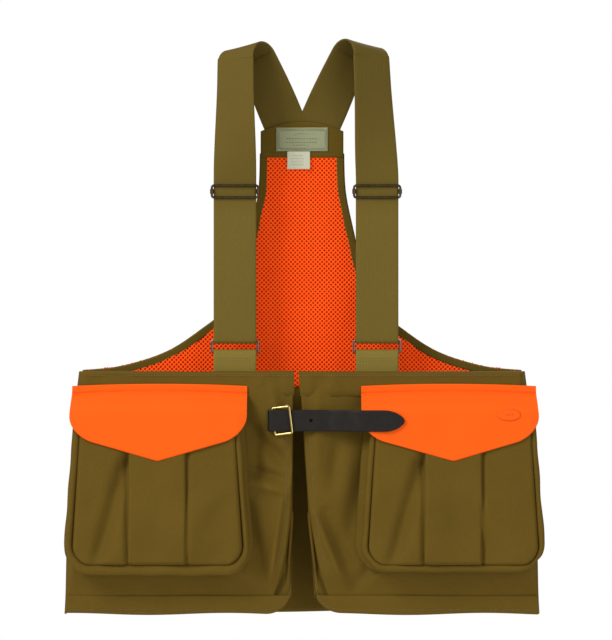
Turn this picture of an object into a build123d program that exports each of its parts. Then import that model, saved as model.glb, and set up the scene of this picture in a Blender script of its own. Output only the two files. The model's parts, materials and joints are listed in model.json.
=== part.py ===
"""A strap vest for the field: canvas waist with a front-loading bag and bellows pockets,
mesh back, webbing shoulder straps with wire slides, and a leather front closure.

The vest hangs upright as it does on a person or a hanger. +Z is up, the front faces -Y,
and the origin is midway between the two bends where the straps go over the shoulders.
"""
from build123d import *
import os
from math import asin, atan2, cos, degrees, pi, radians, sin, tan

os.makedirs("parts", exist_ok=True)

SIDES = {"left": -1, "right": 1}  # as seen from the front: left is towards -X

# ---- driving dimensions, mm ----
cloth = 1.5  # canvas, mesh and flap thickness
gap = 0.3  # between neighbours that move or curve

# canvas waist
waist_top = -363  # height of the waist's top edge
waist_height = 284
top_width = 527
hem_width = 561
torso_depth = 39  # inside the waist as it hangs, front to back
side_fold = 4  # outer radius of the folds down each side

# front opening
slit_x = -6.5  # the front edges meet a little to the left
slit_width = 5
slit_flare = {"left": 4, "right": 20}  # how far each front edge draws back at the hem
front_corner = 30  # radius of the lower front corners

# front-loading bag, top bands and hem
bag_depth = 12
bag_bottom = 15  # height of the front bags' bottom above the hem
band_height = 28
hem_height = 28

# bellows pockets
pocket_depth = 22
pocket_top = 50  # below the waist's top edge
pocket_height = 175
pocket_top_width = 178
pocket_bottom_width = 200
pocket_corner = 24
pocket_flare = 5  # how much wider the pocket is where it is sewn on
pocket_face_x = {"left": -168, "right": 176}
pocket_base_x = {"left": -165, "right": 168}
pleat_width = 65
pleat_thickness = 1.2

# pocket flaps
flap_width = 204
flap_side = 47  # hinge line down to the flap's lower corners
flap_point = 77  # hinge line down to the flap's point
flap_corner = 22
flap_x = {"left": -166, "right": 171}
flap_seam_height = 9
flap_cover = 17  # how much of the top band shows above the flap
flap_bend = 21  # height over which the flap comes forward over the pocket

# back: mesh, yoke, labels
mesh_overlap = 21  # the mesh runs this far below the waist's top edge
yoke_top = -80
yoke_rise = 12  # arch at the middle of the yoke's top edge
yoke_height = 30
yoke_half_width = 49
mesh_tuck = 4  # the mesh's top edge is this far up inside the yoke
binding_width = 10
binding_thickness = 1.2
binding_overhang = 1
label_width = 61
label_height = 28
label_drop = 1.5  # label's top below the yoke's shoulder line at the middle
label_thickness = 0.8
tag_width = 27
tag_height = 21
tag_x = -4

# game bag behind the waist
game_bag_width = 470
game_bag_drop = 22  # mouth below the waist's top edge
game_bag_depth = 25
game_bag_corner = 40

# shoulder straps, of two-inch webbing
web_width = 50
web = 2.2
strap_x = {"left": -78.5, "right": 88}
crown_x = {"left": -78, "right": 81.5}
crown_rise = {"left": 0, "right": 3}
crown_radius = 17.5
crown_twist = 32  # degrees that the strap turns outward at the shoulder
crown_tilt = 10.5  # degrees that the bend's inner end is higher
yoke_strap_x = 10.3  # strap's centre at its sewn end inside the yoke
strap_end_share = 0.22  # its end above the mesh, as a share of the webbing's width
yoke_strap_entry = 19  # where it lies flat, above the yoke's shoulder line

# strap hardware, of round wire
ring_wire = 1.5  # radii
slide_wire = 1.4
ring_z = -326.7  # upper bar of the ring
ring_height = 14.7
ring_swing = 5  # degrees either way
hardware_play = 0.6  # beside the webbing
wire_bend = 2.5
slide_z = -152.5
slide_height = 14
slide_up = 10  # travel of the slide
return_length = 65  # sewn ply above the ring
tab_length = 52

# leather closure
leather = 2.4
leather_width = 25
closure_z = -420.2
closure_hinge_x = -4
closure_length = 123
closure_rise_x = 45  # where the strap climbs over the flap, and where it lies flat again
closure_flat_x = 67.5
strap_hole_x = 10.6
strap_hole_radius = 2
buckle_wire = 1.4
buckle_heel_x = -33.2
buckle_width = 21.3
buckle_tilt = 7.5
buckle_bend = 1.6
heel_play = 0.8  # room round the frame's bars, which cross the leather at a slant
snap_x = 28
snap_radius = 6
rivet_radius = 2.2
rivet_spacing = 14
badge_width = 28
badge_height = 13.5
badge_x = 240
badge_z = -413

# ---- levels that several pieces share ----
hem = waist_top - waist_height
panel_in = -torso_depth / 2
panel_out = panel_in - cloth
bag_in = panel_out - bag_depth
bag_out = bag_in - cloth
band_out = bag_out - cloth
face_in = bag_out - pocket_depth
face_out = face_in - cloth
pleat_out = face_out - pleat_thickness
flap_in = pleat_out - 2 * gap
flap_out = flap_in - cloth
mesh_in = torso_depth / 2
mesh_out = mesh_in + cloth
back_out = mesh_out + cloth
game_in = back_out + game_bag_depth
game_out = game_in + cloth
waist_depth = back_out - panel_out
waist_middle = (back_out + panel_out) / 2
yoke_bottom = yoke_top - yoke_height


def seam_x(z, side):
    """X of the side seam at a height: the waist widens evenly from its top to the hem."""
    half = (top_width + (hem_width - top_width) * (waist_top - z) / waist_height) / 2
    return SIDES[side] * (half - side_fold)


def front_edge_x(z, side):
    """X of the edge of one front at a height."""
    drawn = slit_width / 2 + slit_flare[side] * (waist_top - z) / waist_height
    return slit_x + SIDES[side] * drawn


def level(y):
    """A plane that faces the front, at depth y, with X across and Z up."""
    return Plane.XZ.offset(-y)


def save(piece, name):
    piece.part.label = name
    export_step(piece.part, f"parts/{name}.step")


def front_outline(top, bottom, side):
    """Outline of one front, with its lower corner at the opening rounded."""
    Polygon(
        (front_edge_x(top, side), top),
        (seam_x(top, side), top),
        (seam_x(bottom, side), bottom),
        (front_edge_x(bottom, side), bottom),
        align=None,
    )


def round_front_corner(sketch, side, radius):
    lower = sketch.vertices().sort_by(Axis.Y)[:2].sort_by(Axis.X)
    fillet(lower[-1] if side == "left" else lower[0], radius=radius)


def pocket_outline(x, widen, rise=0):
    """Outline of a pocket about x, widened all round, with its top raised by rise."""
    top = waist_top - pocket_top
    bottom = top - pocket_height - widen
    with BuildSketch(mode=Mode.PRIVATE) as outline:
        Polygon(
            (x - pocket_top_width / 2 - widen, top + rise),
            (x + pocket_top_width / 2 + widen, top + rise),
            (x + pocket_bottom_width / 2 + widen, bottom),
            (x - pocket_bottom_width / 2 - widen, bottom),
            align=None,
        )
        fillet(outline.vertices().sort_by(Axis.Y)[:2], radius=pocket_corner + widen)
    return outline.sketch


def wire_frame(plane, width, height, wire, bend):
    """A closed frame of round wire, measured between wire centres."""
    with BuildPart() as frame:
        with BuildLine(plane) as path:
            FilletPolyline(
                (-width / 2, -height / 2),
                (width / 2, -height / 2),
                (width / 2, height / 2),
                (-width / 2, height / 2),
                radius=bend,
                close=True,
            )
        with BuildSketch(Plane(origin=path.line @ 0, z_dir=path.line % 0)):
            Circle(wire)
        sweep(path=path.line)
    return frame


# ---- waist: side folds, front panels, back panel ----
for side, sign in SIDES.items():
    with BuildPart() as side_panel:
        for inset, mode in ((0, Mode.ADD), (cloth, Mode.SUBTRACT)):
            for z, width in ((waist_top, top_width), (hem, hem_width)):
                with BuildSketch(Plane.XY.offset(z)):
                    with Locations((0, waist_middle)):
                        RectangleRounded(
                            width - 2 * inset, waist_depth - 2 * inset, side_fold - inset
                        )
            loft(mode=mode)
        lean = degrees(atan2(seam_x(hem, side) - seam_x(waist_top, side), waist_height))
        seam_plane = Plane(
            origin=(seam_x(waist_top, side), 0, waist_top),
            z_dir=(sign * cos(radians(lean)), 0, sign * sin(radians(lean))),
        )
        split(bisect_by=seam_plane, keep=Keep.TOP)
    save(side_panel, f"side_panel_{side}")

    with BuildPart() as front_panel:
        with BuildSketch(level(panel_in)) as panel:
            front_outline(waist_top - cloth, hem, side)
            round_front_corner(panel, side, front_corner)
        extrude(amount=cloth)
    save(front_panel, f"front_panel_{side}")

    hem_top = hem + hem_height
    with BuildPart() as hem_band:
        with BuildSketch(level(panel_out)) as band:
            front_outline(hem_top, hem, side)
            round_front_corner(band, side, min(front_corner, hem_height - 1))
        extrude(amount=cloth / 2)
    save(hem_band, f"hem_band_{side}")

    with BuildPart() as top_band:
        with BuildSketch(Plane.YZ.offset(front_edge_x(waist_top, side))):
            with BuildLine():
                Polyline(
                    (panel_out, waist_top),
                    (band_out, waist_top),
                    (band_out, waist_top - band_height),
                    (bag_out, waist_top - band_height),
                    (bag_out, waist_top - cloth),
                    (panel_out, waist_top - cloth),
                    close=True,
                )
            make_face()
        extrude(amount=seam_x(waist_top, side) - front_edge_x(waist_top, side))
    save(top_band, f"top_band_{side}")

with BuildPart() as back_panel:
    with BuildSketch(level(back_out)):
        top = waist_top - mesh_overlap / 2
        Polygon(
            (seam_x(top, "left"), top),
            (seam_x(top, "right"), top),
            (seam_x(hem, "right"), hem),
            (seam_x(hem, "left"), hem),
            align=None,
        )
    extrude(amount=cloth)
save(back_panel, "back_waist_panel")

# ---- front-loading bag: an outer ply and a strip that closes its side and bottom ----
bag_floor = hem + bag_bottom
for side, sign in SIDES.items():
    with BuildPart() as bag_front:
        with BuildSketch(level(bag_in)) as ply:
            front_outline(waist_top - cloth, bag_floor, side)
            round_front_corner(ply, side, front_corner)
        extrude(amount=cloth)
    save(bag_front, f"front_bag_{side}")

    strip_back = panel_out - cloth / 2 - gap
    with BuildPart() as bag_strip:
        with BuildSketch(level(strip_back)) as strip:
            front_outline(waist_top - cloth, bag_floor, side)
            round_front_corner(strip, side, front_corner)
        extrude(amount=strip_back - bag_in)
        with BuildSketch(level(strip_back)):
            Polygon(
                (slit_x - sign * front_corner, waist_top),
                (seam_x(waist_top, side) - sign * cloth, waist_top),
                (seam_x(bag_floor, side) - sign * cloth, bag_floor + cloth),
                (slit_x - sign * front_corner, bag_floor + cloth),
                align=None,
            )
        extrude(amount=strip_back - bag_in, mode=Mode.SUBTRACT)
        near_slit = front_edge_x(bag_floor, side) + sign * front_corner
        split(bisect_by=Plane.YZ.offset(near_slit), keep=Keep.TOP if sign > 0 else Keep.BOTTOM)
    save(bag_strip, f"front_bag_strip_{side}")

# ---- bellows pockets ----
for side in SIDES:
    face_x, base_x = pocket_face_x[side], pocket_base_x[side]
    with BuildPart() as gusset:
        with BuildSketch(level(bag_out)):
            add(pocket_outline(base_x, pocket_flare))
        with BuildSketch(level(face_in)):
            add(pocket_outline(face_x, 0))
        loft()
        with BuildSketch(level(bag_out)):
            add(pocket_outline(base_x, pocket_flare - cloth, rise=cloth))
        with BuildSketch(level(face_in)):
            add(pocket_outline(face_x, -cloth, rise=cloth))
        loft(mode=Mode.SUBTRACT)
    save(gusset, f"pocket_gusset_{side}")

    with BuildPart() as face:
        with BuildSketch(level(face_in)):
            add(pocket_outline(face_x, 0))
        extrude(amount=cloth)
    save(face, f"pocket_face_{side}")

    with BuildPart() as pleat:
        with BuildSketch(level(face_out)):
            with Locations((face_x, waist_top - pocket_top - pocket_height / 2)):
                Rectangle(pleat_width, pocket_height)
        extrude(amount=pleat_thickness)
    save(pleat, f"pocket_pleat_{side}")

# ---- pocket flaps: a sewn-down strip on the band, and the flap that lifts from it ----
seam_top = waist_top - flap_cover
seam_bottom = seam_top - flap_seam_height
hinge_y = band_out - cloth - gap
hinge_z = seam_bottom - gap - cloth / 2
flap_middle = (flap_in + flap_out) / 2
for side in SIDES:
    x = flap_x[side]
    with BuildPart() as flap_seam:
        with BuildSketch(level(band_out)):
            with Locations((x, (seam_top + seam_bottom) / 2)):
                Rectangle(flap_width, flap_seam_height)
        extrude(amount=cloth)
    save(flap_seam, f"flap_seam_{side}")

    with BuildPart() as flap:
        with BuildSketch(Plane.YZ.offset(x)):
            with BuildLine():
                FilletPolyline(
                    (hinge_y, hinge_z),
                    (flap_middle, hinge_z - flap_bend),
                    (flap_middle, hinge_z - flap_point),
                    radius=flap_bend / 2,
                )
            trace(line_width=cloth)
        extrude(amount=flap_width / 2, both=True)
        with BuildSketch(level(0)) as outline:
            Polygon(
                (x - flap_width / 2, hinge_z + cloth),
                (x + flap_width / 2, hinge_z + cloth),
                (x + flap_width / 2, hinge_z - flap_side),
                (pocket_face_x[side], hinge_z - flap_point),
                (x - flap_width / 2, hinge_z - flap_side),
                align=None,
            )
            fillet(outline.vertices().sort_by(Axis.Y)[1:3], radius=flap_corner)
        extrude(amount=-flap_out + cloth, mode=Mode.INTERSECT)
    save(flap, f"pocket_flap_{side}")

with BuildPart() as badge:
    with BuildSketch(level(flap_out)):
        with Locations((badge_x, badge_z)):
            Ellipse(badge_width / 2, badge_height / 2)
    extrude(amount=label_thickness)
save(badge, "flap_badge")

# ---- back: mesh, bound armholes, yoke and labels ----
side_top = (seam_x(waist_top, "right"), waist_top)
yoke_corner = (yoke_half_width, yoke_bottom + mesh_tuck)
armhole_shares = (
    (0.01, 0.18),
    (0.06, 0.38),
    (0.11, 0.56),
    (0.19, 0.71),
    (0.33, 0.81),
    (0.53, 0.915),
    (0.78, 0.98),
)


def armhole_points(sign):
    """From the yoke's corner down and out to the side seam."""
    across = side_top[0] - yoke_corner[0]
    down = side_top[1] - yoke_corner[1]
    shares = ((0, 0),) + armhole_shares + ((1, 1),)
    return [(sign * (yoke_corner[0] + u * across), yoke_corner[1] + v * down) for u, v in shares]


mesh_bottom = waist_top - mesh_overlap
mesh_corner = (side_top[0], mesh_bottom)
with BuildPart() as mesh:
    with BuildSketch(level(mesh_out)):
        with BuildLine():
            Spline(*armhole_points(1))
            Polyline(side_top, mesh_corner, (-mesh_corner[0], mesh_bottom), (-side_top[0], waist_top))
            Spline(*reversed(armhole_points(-1)))
            Line(armhole_points(-1)[0], armhole_points(1)[0])
        make_face()
    extrude(amount=cloth)
save(mesh, "back_mesh_panel")

for side, sign in SIDES.items():
    with BuildPart() as binding:
        with BuildSketch(level(mesh_in)):
            with BuildLine():
                Spline(*[(x - sign * (binding_width / 2 - binding_overhang), z)
                         for x, z in armhole_points(sign)])
            trace(line_width=binding_width)
        extrude(amount=binding_thickness)
        split(bisect_by=Plane.XY.offset(yoke_bottom), keep=Keep.BOTTOM)
    save(binding, f"armhole_binding_{side}")

strap_layer = mesh_in + web / 2 + gap / 2
for name, y in (("yoke_facing", mesh_in), ("yoke_outer", strap_layer + web / 2 + gap / 2 + cloth)):
    with BuildPart() as yoke:
        with BuildSketch(level(y)):
            with BuildLine():
                ThreePointArc(
                    (-yoke_half_width, yoke_top), (0, yoke_top + yoke_rise), (yoke_half_width, yoke_top)
                )
                Polyline(
                    (yoke_half_width, yoke_top),
                    (yoke_half_width, yoke_bottom),
                    (-yoke_half_width, yoke_bottom),
                    (-yoke_half_width, yoke_top),
                )
            make_face()
        extrude(amount=cloth)
    save(yoke, name)

label_top = yoke_top + yoke_rise / 2 - label_drop
label_bottom = label_top - label_height
with BuildPart() as label:
    with BuildSketch(level(mesh_in - cloth)):
        with Locations((0, (label_top + label_bottom) / 2)):
            RectangleRounded(label_width, label_height, 2)
    extrude(amount=label_thickness)
save(label, "neck_label")

with BuildPart() as tag:
    with BuildSketch(level(mesh_in - cloth)):
        with Locations((tag_x, label_bottom - gap - tag_height / 2)):
            Rectangle(tag_width, tag_height)
    extrude(amount=label_thickness)
save(tag, "care_tag")

# ---- game bag on the back: outer wall and a strip round its sides and bottom ----
game_top = waist_top - game_bag_drop
game_height = game_top - hem - cloth


def game_outline(inset=0, rise=0):
    with BuildSketch(mode=Mode.PRIVATE) as outline:
        with Locations((0, game_top + rise)):
            Rectangle(
                game_bag_width - 2 * inset,
                game_height + rise - inset,
                align=(Align.CENTER, Align.MAX),
            )
        fillet(outline.vertices().sort_by(Axis.Y)[:2], radius=game_bag_corner - inset)
    return outline.sketch


with BuildPart() as game_strip:
    with BuildSketch(level(game_in)):
        add(game_outline())
        add(game_outline(inset=cloth, rise=cloth), mode=Mode.SUBTRACT)
    extrude(amount=game_bag_depth)
save(game_strip, "game_bag_strip")

with BuildPart() as game_wall:
    with BuildSketch(level(game_out)):
        add(game_outline())
    extrude(amount=cloth)
save(game_wall, "game_bag_outer")

# ---- levels of the strap hardware ----
ring_y = panel_in + gap + web + gap + ring_wire
swing_play = ring_height * sin(radians(ring_swing)) + gap
front_ply = ring_y - ring_wire - swing_play - web / 2
rear_ply = ring_y + ring_wire + swing_play + web / 2
hardware_width = web_width + 2 * (hardware_play + slide_wire)
frame_y = front_ply - web / 2 - gap - slide_wire
bar_y = front_ply + web / 2 + 2 * gap + web + gap + slide_wire
loop_reach = slide_wire + gap + web / 2
sliding_ply = rear_ply + web + gap


def crown(angle, side):
    """Place, width direction and run direction of the strap at an angle round its bend.

    The bend is a cylinder whose axis is turned by crown_twist and raised by crown_tilt
    towards the neck, and the strap's edges are helices on it.
    """
    twist, tilt = radians(crown_twist), radians(crown_tilt)
    inward = -SIDES[side]
    axis = Vector(inward * cos(tilt) * cos(twist), -cos(tilt) * sin(twist), sin(tilt))
    ahead = Vector(inward * sin(twist), cos(twist), 0)
    up = Vector(-inward * sin(tilt) * cos(twist), sin(tilt) * sin(twist), cos(tilt))
    middle = Vector(crown_x[side] + inward * crown_radius * sin(twist), 0, crown_rise[side])
    radial = up * sin(angle) - ahead * cos(angle)
    place = middle + axis * (crown_radius * angle * tan(tilt)) + radial * crown_radius
    run = axis * sin(tilt) + (up * cos(angle) + ahead * sin(angle)) * cos(tilt)
    return place, run.cross(radial), run


def strap_sections(side):
    """Sections of the shoulder strap from the ring, over the shoulder, to the yoke."""
    inward = -SIDES[side]
    low = Vector(strap_x[side], front_ply, ring_z)
    flat = Vector(strap_x[side], front_ply, slide_z + slide_up + slide_height)
    top = crown(0, side)[0]
    sections = [(low, Vector(1, 0, 0), Vector(0, 0, 1)), (flat, Vector(1, 0, 0), Vector(0, 0, 1))]
    for share in (0.25, 0.5, 0.75):
        turn = radians(crown_twist) * sin(share * pi / 2)
        across = Vector(inward * cos(turn), -sin(turn), 0)
        sections.append((flat + (top - flat) * share, across, Vector(0, 0, 1)))
    steps = 12
    sections += [crown(pi * step / steps, side) for step in range(steps + 1)]
    place, across, run = sections[-1]
    end_z = yoke_bottom + mesh_tuck + strap_end_share * web_width
    end = Vector(-inward * yoke_strap_x, strap_layer, end_z)
    fall = (place.Z - yoke_top - yoke_strap_entry) / (place.Z - end.Z)
    entry = Vector(place.X + (end.X - place.X) * fall, strap_layer, yoke_top + yoke_strap_entry)
    slant = atan2(abs(end.X - place.X), place.Z - end.Z)
    flat_run = Vector(inward * sin(slant), 0, -cos(slant))
    flat_across = flat_run.cross(Vector(0, 1, 0))
    for share in (0.35, 0.7):
        sections.append(
            (
                place + (entry - place) * share,
                across + (flat_across - across) * share,
                run + (flat_run - run) * share,
            )
        )
    return sections + [(entry, flat_across, flat_run), (end, flat_across, flat_run)]


for side, sign in SIDES.items():
    x = strap_x[side]
    with BuildPart() as strap:
        for place, across, run in strap_sections(side):
            with BuildSketch(Plane(origin=place, x_dir=across, z_dir=run)):
                Rectangle(web_width, web)
        loft(ruled=True)
        split(
            bisect_by=Plane.YZ.offset(sign * gap / 2),
            keep=Keep.TOP if sign > 0 else Keep.BOTTOM,
        )
    save(strap, f"shoulder_strap_{side}")

    fold_bottom = ring_z - ring_wire - gap - web / 2
    with BuildPart() as strap_return:
        with BuildSketch(Plane.YZ.offset(x)):
            with BuildLine():
                FilletPolyline(
                    (front_ply, ring_z),
                    (front_ply, fold_bottom),
                    (rear_ply, fold_bottom),
                    (rear_ply, ring_z + return_length),
                    radius=ring_wire + gap + web / 2 - 0.1,
                )
            trace(line_width=web)
        extrude(amount=web_width / 2, both=True)
    save(strap_return, f"strap_return_{side}")

    with BuildPart() as end_loop:
        with BuildSketch(Plane.YZ.offset(x)):
            with BuildLine():
                FilletPolyline(
                    (bar_y - loop_reach, slide_z - slide_height),
                    (bar_y - loop_reach, slide_z + loop_reach),
                    (bar_y + loop_reach, slide_z + loop_reach),
                    (bar_y + loop_reach, slide_z - loop_reach),
                    (sliding_ply, slide_z - slide_height),
                    (sliding_ply, ring_z + return_length - 10),
                    radius=loop_reach - 0.05,
                )
            trace(line_width=web)
        extrude(amount=web_width / 2, both=True)
    save(end_loop, f"strap_end_loop_{side}")

    slide_frame = wire_frame(
        Plane(origin=(x, frame_y, slide_z), x_dir=(1, 0, 0), z_dir=(0, -1, 0)),
        hardware_width,
        slide_height,
        slide_wire,
        wire_bend,
    )
    save(slide_frame, f"slide_frame_{side}")

    with BuildPart() as slide_bar:
        with BuildLine(Plane.XY.offset(slide_z)) as bar_path:
            FilletPolyline(
                (x - hardware_width / 2, frame_y + slide_wire + gap),
                (x - hardware_width / 2, bar_y),
                (x + hardware_width / 2, bar_y),
                (x + hardware_width / 2, frame_y + slide_wire + gap),
                radius=wire_bend,
            )
        with BuildSketch(Plane(origin=bar_path.line @ 0, z_dir=bar_path.line % 0)):
            Circle(slide_wire)
        sweep(path=bar_path.line)
        for end in (-1, 1):
            with BuildSketch(Plane.XY.offset(slide_z - slide_height / 5)):
                with Locations((x + end * hardware_width / 2, frame_y)):
                    Circle(slide_wire + 0.8)
                    Circle(slide_wire + 0.05, mode=Mode.SUBTRACT)
            extrude(amount=2 * slide_height / 5)
    save(slide_bar, f"slide_bar_{side}")

    ring = wire_frame(
        Plane(origin=(x, ring_y, ring_z - ring_height / 2), x_dir=(1, 0, 0), z_dir=(0, -1, 0)),
        hardware_width,
        ring_height,
        ring_wire,
        wire_bend,
    )
    save(ring, f"strap_ring_{side}")

    tab_reach = ring_wire + gap + web / 2
    tab_top = ring_z - ring_height + tab_reach
    with BuildPart() as tab:
        with BuildSketch(Plane.YZ.offset(x)):
            with BuildLine():
                FilletPolyline(
                    (ring_y - tab_reach, tab_top - tab_length),
                    (ring_y - tab_reach, tab_top),
                    (ring_y + tab_reach, tab_top),
                    (ring_y + tab_reach, tab_top - tab_length),
                    radius=tab_reach - 0.05,
                )
            trace(line_width=web)
        extrude(amount=web_width / 2, both=True)
    save(tab, f"strap_tab_{side}")

# ---- leather closure and its brass frame ----
tilt_spread = leather_width / 2 * tan(radians(buckle_tilt))
buckle_height = leather_width + 2 * (buckle_wire + gap) + buckle_width * tan(radians(buckle_tilt))
under_leather = bag_out - gap - leather / 2
heel_y = under_leather - leather / 2 - heel_play - buckle_wire
over_leather = heel_y - buckle_wire - heel_play - leather / 2
outer_bar_y = over_leather - leather / 2 - heel_play - buckle_wire
over_flap = flap_out - gap - leather / 2
fold_x = buckle_heel_x - 2 * buckle_wire - tilt_spread - leather / 2

with BuildPart() as chape:
    with BuildSketch(Plane.XY.offset(closure_z)):
        with BuildLine():
            FilletPolyline(
                (buckle_heel_x + buckle_width - 2, under_leather),
                (fold_x, under_leather),
                (fold_x, over_leather),
                (closure_hinge_x - gap, over_leather),
                radius=(under_leather - over_leather) / 2 - 0.05,
            )
        trace(line_width=leather)
    extrude(amount=leather_width / 2, both=True)
save(chape, "closure_chape")

with BuildPart() as closure_strap:
    with BuildSketch(Plane.XY.offset(closure_z)):
        with BuildLine():
            FilletPolyline(
                (closure_hinge_x + gap + leather / 2, over_leather),
                (closure_rise_x, over_leather),
                (closure_flat_x, over_flap),
                (closure_hinge_x + closure_length, over_flap),
                radius=leather * 2,
            )
        trace(line_width=leather)
    extrude(amount=leather_width / 2, both=True)
    tip = closure_strap.edges().filter_by(Axis.Y).group_by(Axis.X)[-1]
    fillet(tip, radius=leather_width / 2 - 0.8)
    with BuildSketch(level(over_leather + leather)):
        with Locations((strap_hole_x, closure_z)):
            Circle(strap_hole_radius)
    extrude(amount=2 * leather, mode=Mode.SUBTRACT)
save(closure_strap, "closure_strap")

frame_slope = asin((heel_y - outer_bar_y) / buckle_width)
across_frame = Vector(cos(frame_slope), -sin(frame_slope), 0)
frame_normal = Vector(-sin(frame_slope), -cos(frame_slope), 0)
frame_origin = Vector(buckle_heel_x, heel_y, closure_z) + across_frame * (buckle_width / 2)
tilted = across_frame * cos(radians(buckle_tilt)) + Vector(0, 0, sin(radians(buckle_tilt)))
buckle = wire_frame(
    Plane(origin=frame_origin, x_dir=tilted, z_dir=frame_normal),
    buckle_width,
    buckle_height,
    buckle_wire,
    buckle_bend,
)
save(buckle, "buckle_frame")

snap_depth = bag_out - (over_leather + leather / 2)
with BuildPart() as stud:
    with BuildSketch(level(bag_out)):
        with Locations((snap_x, closure_z)):
            Circle(snap_radius)
    extrude(amount=snap_depth * 0.3)
    with BuildSketch(level(bag_out - snap_depth * 0.3)):
        with Locations((snap_x, closure_z)):
            Circle(snap_radius / 2)
    extrude(amount=snap_depth * 0.3)
save(stud, "snap_stud")

with BuildPart() as socket:
    with BuildSketch(level(bag_out - snap_depth * 0.3 - gap)):
        with Locations((snap_x, closure_z)):
            Circle(snap_radius)
            Circle(snap_radius / 2 + gap, mode=Mode.SUBTRACT)
    extrude(amount=snap_depth * 0.7 - gap)
save(socket, "snap_socket")

with BuildPart() as rivets:
    with BuildSketch(level(under_leather - leather / 2)):
        with Locations((buckle_heel_x + buckle_width / 2, closure_z)):
            with GridLocations(1, rivet_spacing, 1, 2):
                Circle(rivet_radius)
    extrude(amount=gap + buckle_wire)
save(rivets, "closure_rivets")
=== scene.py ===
"""Cloth, webbing, leather and metal of a strap vest, built round its packed frame.

Everything is in metres. +Z is up, the front faces -Y, left is towards -X.
"""

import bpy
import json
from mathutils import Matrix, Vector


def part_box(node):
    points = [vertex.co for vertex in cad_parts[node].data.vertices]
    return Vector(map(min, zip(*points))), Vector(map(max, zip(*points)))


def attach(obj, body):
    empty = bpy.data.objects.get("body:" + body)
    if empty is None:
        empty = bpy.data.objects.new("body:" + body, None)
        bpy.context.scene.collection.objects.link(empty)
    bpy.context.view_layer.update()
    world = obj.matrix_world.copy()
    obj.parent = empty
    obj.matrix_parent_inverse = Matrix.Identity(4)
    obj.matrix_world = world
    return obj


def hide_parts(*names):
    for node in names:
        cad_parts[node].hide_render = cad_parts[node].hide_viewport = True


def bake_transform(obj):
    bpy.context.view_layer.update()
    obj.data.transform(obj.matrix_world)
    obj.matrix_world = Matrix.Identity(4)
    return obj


bl_info = {
    "name": "Strap vest",
    "version": (1, 0, 0),
    "blender": (4, 5, 0),
    "location": "3D View > Sidebar > Vest",
    "description": "Builds the soft pieces, finishes and stage of a strap vest",
    "category": "Object",
}

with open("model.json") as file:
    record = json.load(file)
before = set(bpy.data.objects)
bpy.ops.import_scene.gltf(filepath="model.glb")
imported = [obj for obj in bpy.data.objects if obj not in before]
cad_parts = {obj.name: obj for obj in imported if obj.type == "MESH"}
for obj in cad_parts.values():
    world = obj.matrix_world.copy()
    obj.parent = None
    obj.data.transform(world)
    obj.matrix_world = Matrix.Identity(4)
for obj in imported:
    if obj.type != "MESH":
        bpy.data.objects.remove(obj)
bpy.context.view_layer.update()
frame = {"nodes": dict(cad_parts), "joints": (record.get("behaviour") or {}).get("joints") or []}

import json
import math
from itertools import accumulate
from math import cos, pi, sin, sqrt

import bmesh
import bpy
from bpy.props import FloatProperty, FloatVectorProperty, PointerProperty
from mathutils import Matrix, Vector, noise

MM = 0.001
SIDES = {"left": -1, "right": 1}
FORWARD, BACKWARD = (0, -1, 0), (0, 1, 0)


def low(node):
    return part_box(node)[0]


def high(node):
    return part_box(node)[1]


def middle(node):
    return (low(node) + high(node)) / 2


# ---- places and levels taken from the frame ----
WAIST_TOP = high("top_band_left").z
HEM = low("front_panel_left").z
SEAM_TOP = high("top_band_right").x
SEAM_HEM = high("back_waist_panel").x
SIDE_FOLD = high("side_panel_right").x - SEAM_HEM
BAND_BOTTOM = low("top_band_left").z
BAG_FLOOR = low("front_bag_left").z
HEM_TOP = high("hem_band_left").z
PANEL_OUT = low("front_panel_left").y
BAG_OUT = low("front_bag_left").y
BAND_OUT = low("top_band_left").y
FACE_OUT = low("pocket_face_left").y
FLAP_OUT = low("pocket_flap_left").y
SEAM_STRIP_TOP = high("flap_seam_left").z
SEAM_STRIP_BOTTOM = low("flap_seam_left").z
MESH_IN = low("back_mesh_panel").y
MESH_TOP = high("back_mesh_panel").z
MESH_BOTTOM = low("back_mesh_panel").z
BACK_OUT = high("back_waist_panel").y
GAME_OUT = high("game_bag_outer").y
FRONT_EDGE = {"left": high("top_band_left").x, "right": low("top_band_right").x}
EDGE_DRAWN_BACK = {"left": 4 * MM, "right": 20 * MM}
POCKET_BASE_X = {side: middle(f"pocket_gusset_{side}").x for side in SIDES}
POCKET_FACE_X = {side: middle(f"pocket_face_{side}").x for side in SIDES}
POCKET_TOP = high("pocket_face_left").z
POCKET_BOTTOM = low("pocket_face_left").z
CLOSURE_Z = middle("closure_strap").z


class VestSizes(bpy.types.PropertyGroup):
    """Sizes of the cloth and its details."""

    cloth: FloatProperty(
        name="Cloth", description="Thickness of a ply of canvas", default=1.3 * MM, unit="LENGTH"
    )
    webbing: FloatProperty(
        name="Webbing", description="Thickness of the straps", default=2.2 * MM, unit="LENGTH"
    )
    leather: FloatProperty(
        name="Leather", description="Thickness of the closure", default=2.4 * MM, unit="LENGTH"
    )
    hole_pitch: FloatProperty(
        name="Hole pitch", description="Mesh holes, across", default=5.3 * MM, unit="LENGTH"
    )
    hole_rows: FloatProperty(
        name="Hole rows", description="From one row of holes to the next", default=2.7 * MM,
        unit="LENGTH",
    )
    stitch: FloatProperty(
        name="Stitch", description="Length of one stitch", default=2.6 * MM, unit="LENGTH"
    )
    creases: FloatProperty(
        name="Creases", description="Depth of the soft creases in the canvas", default=1.6 * MM,
        unit="LENGTH",
    )


def tint(name, colour, description):
    return FloatVectorProperty(
        name=name, description=description, default=colour, subtype="COLOR", size=3, min=0, max=1
    )


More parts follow.
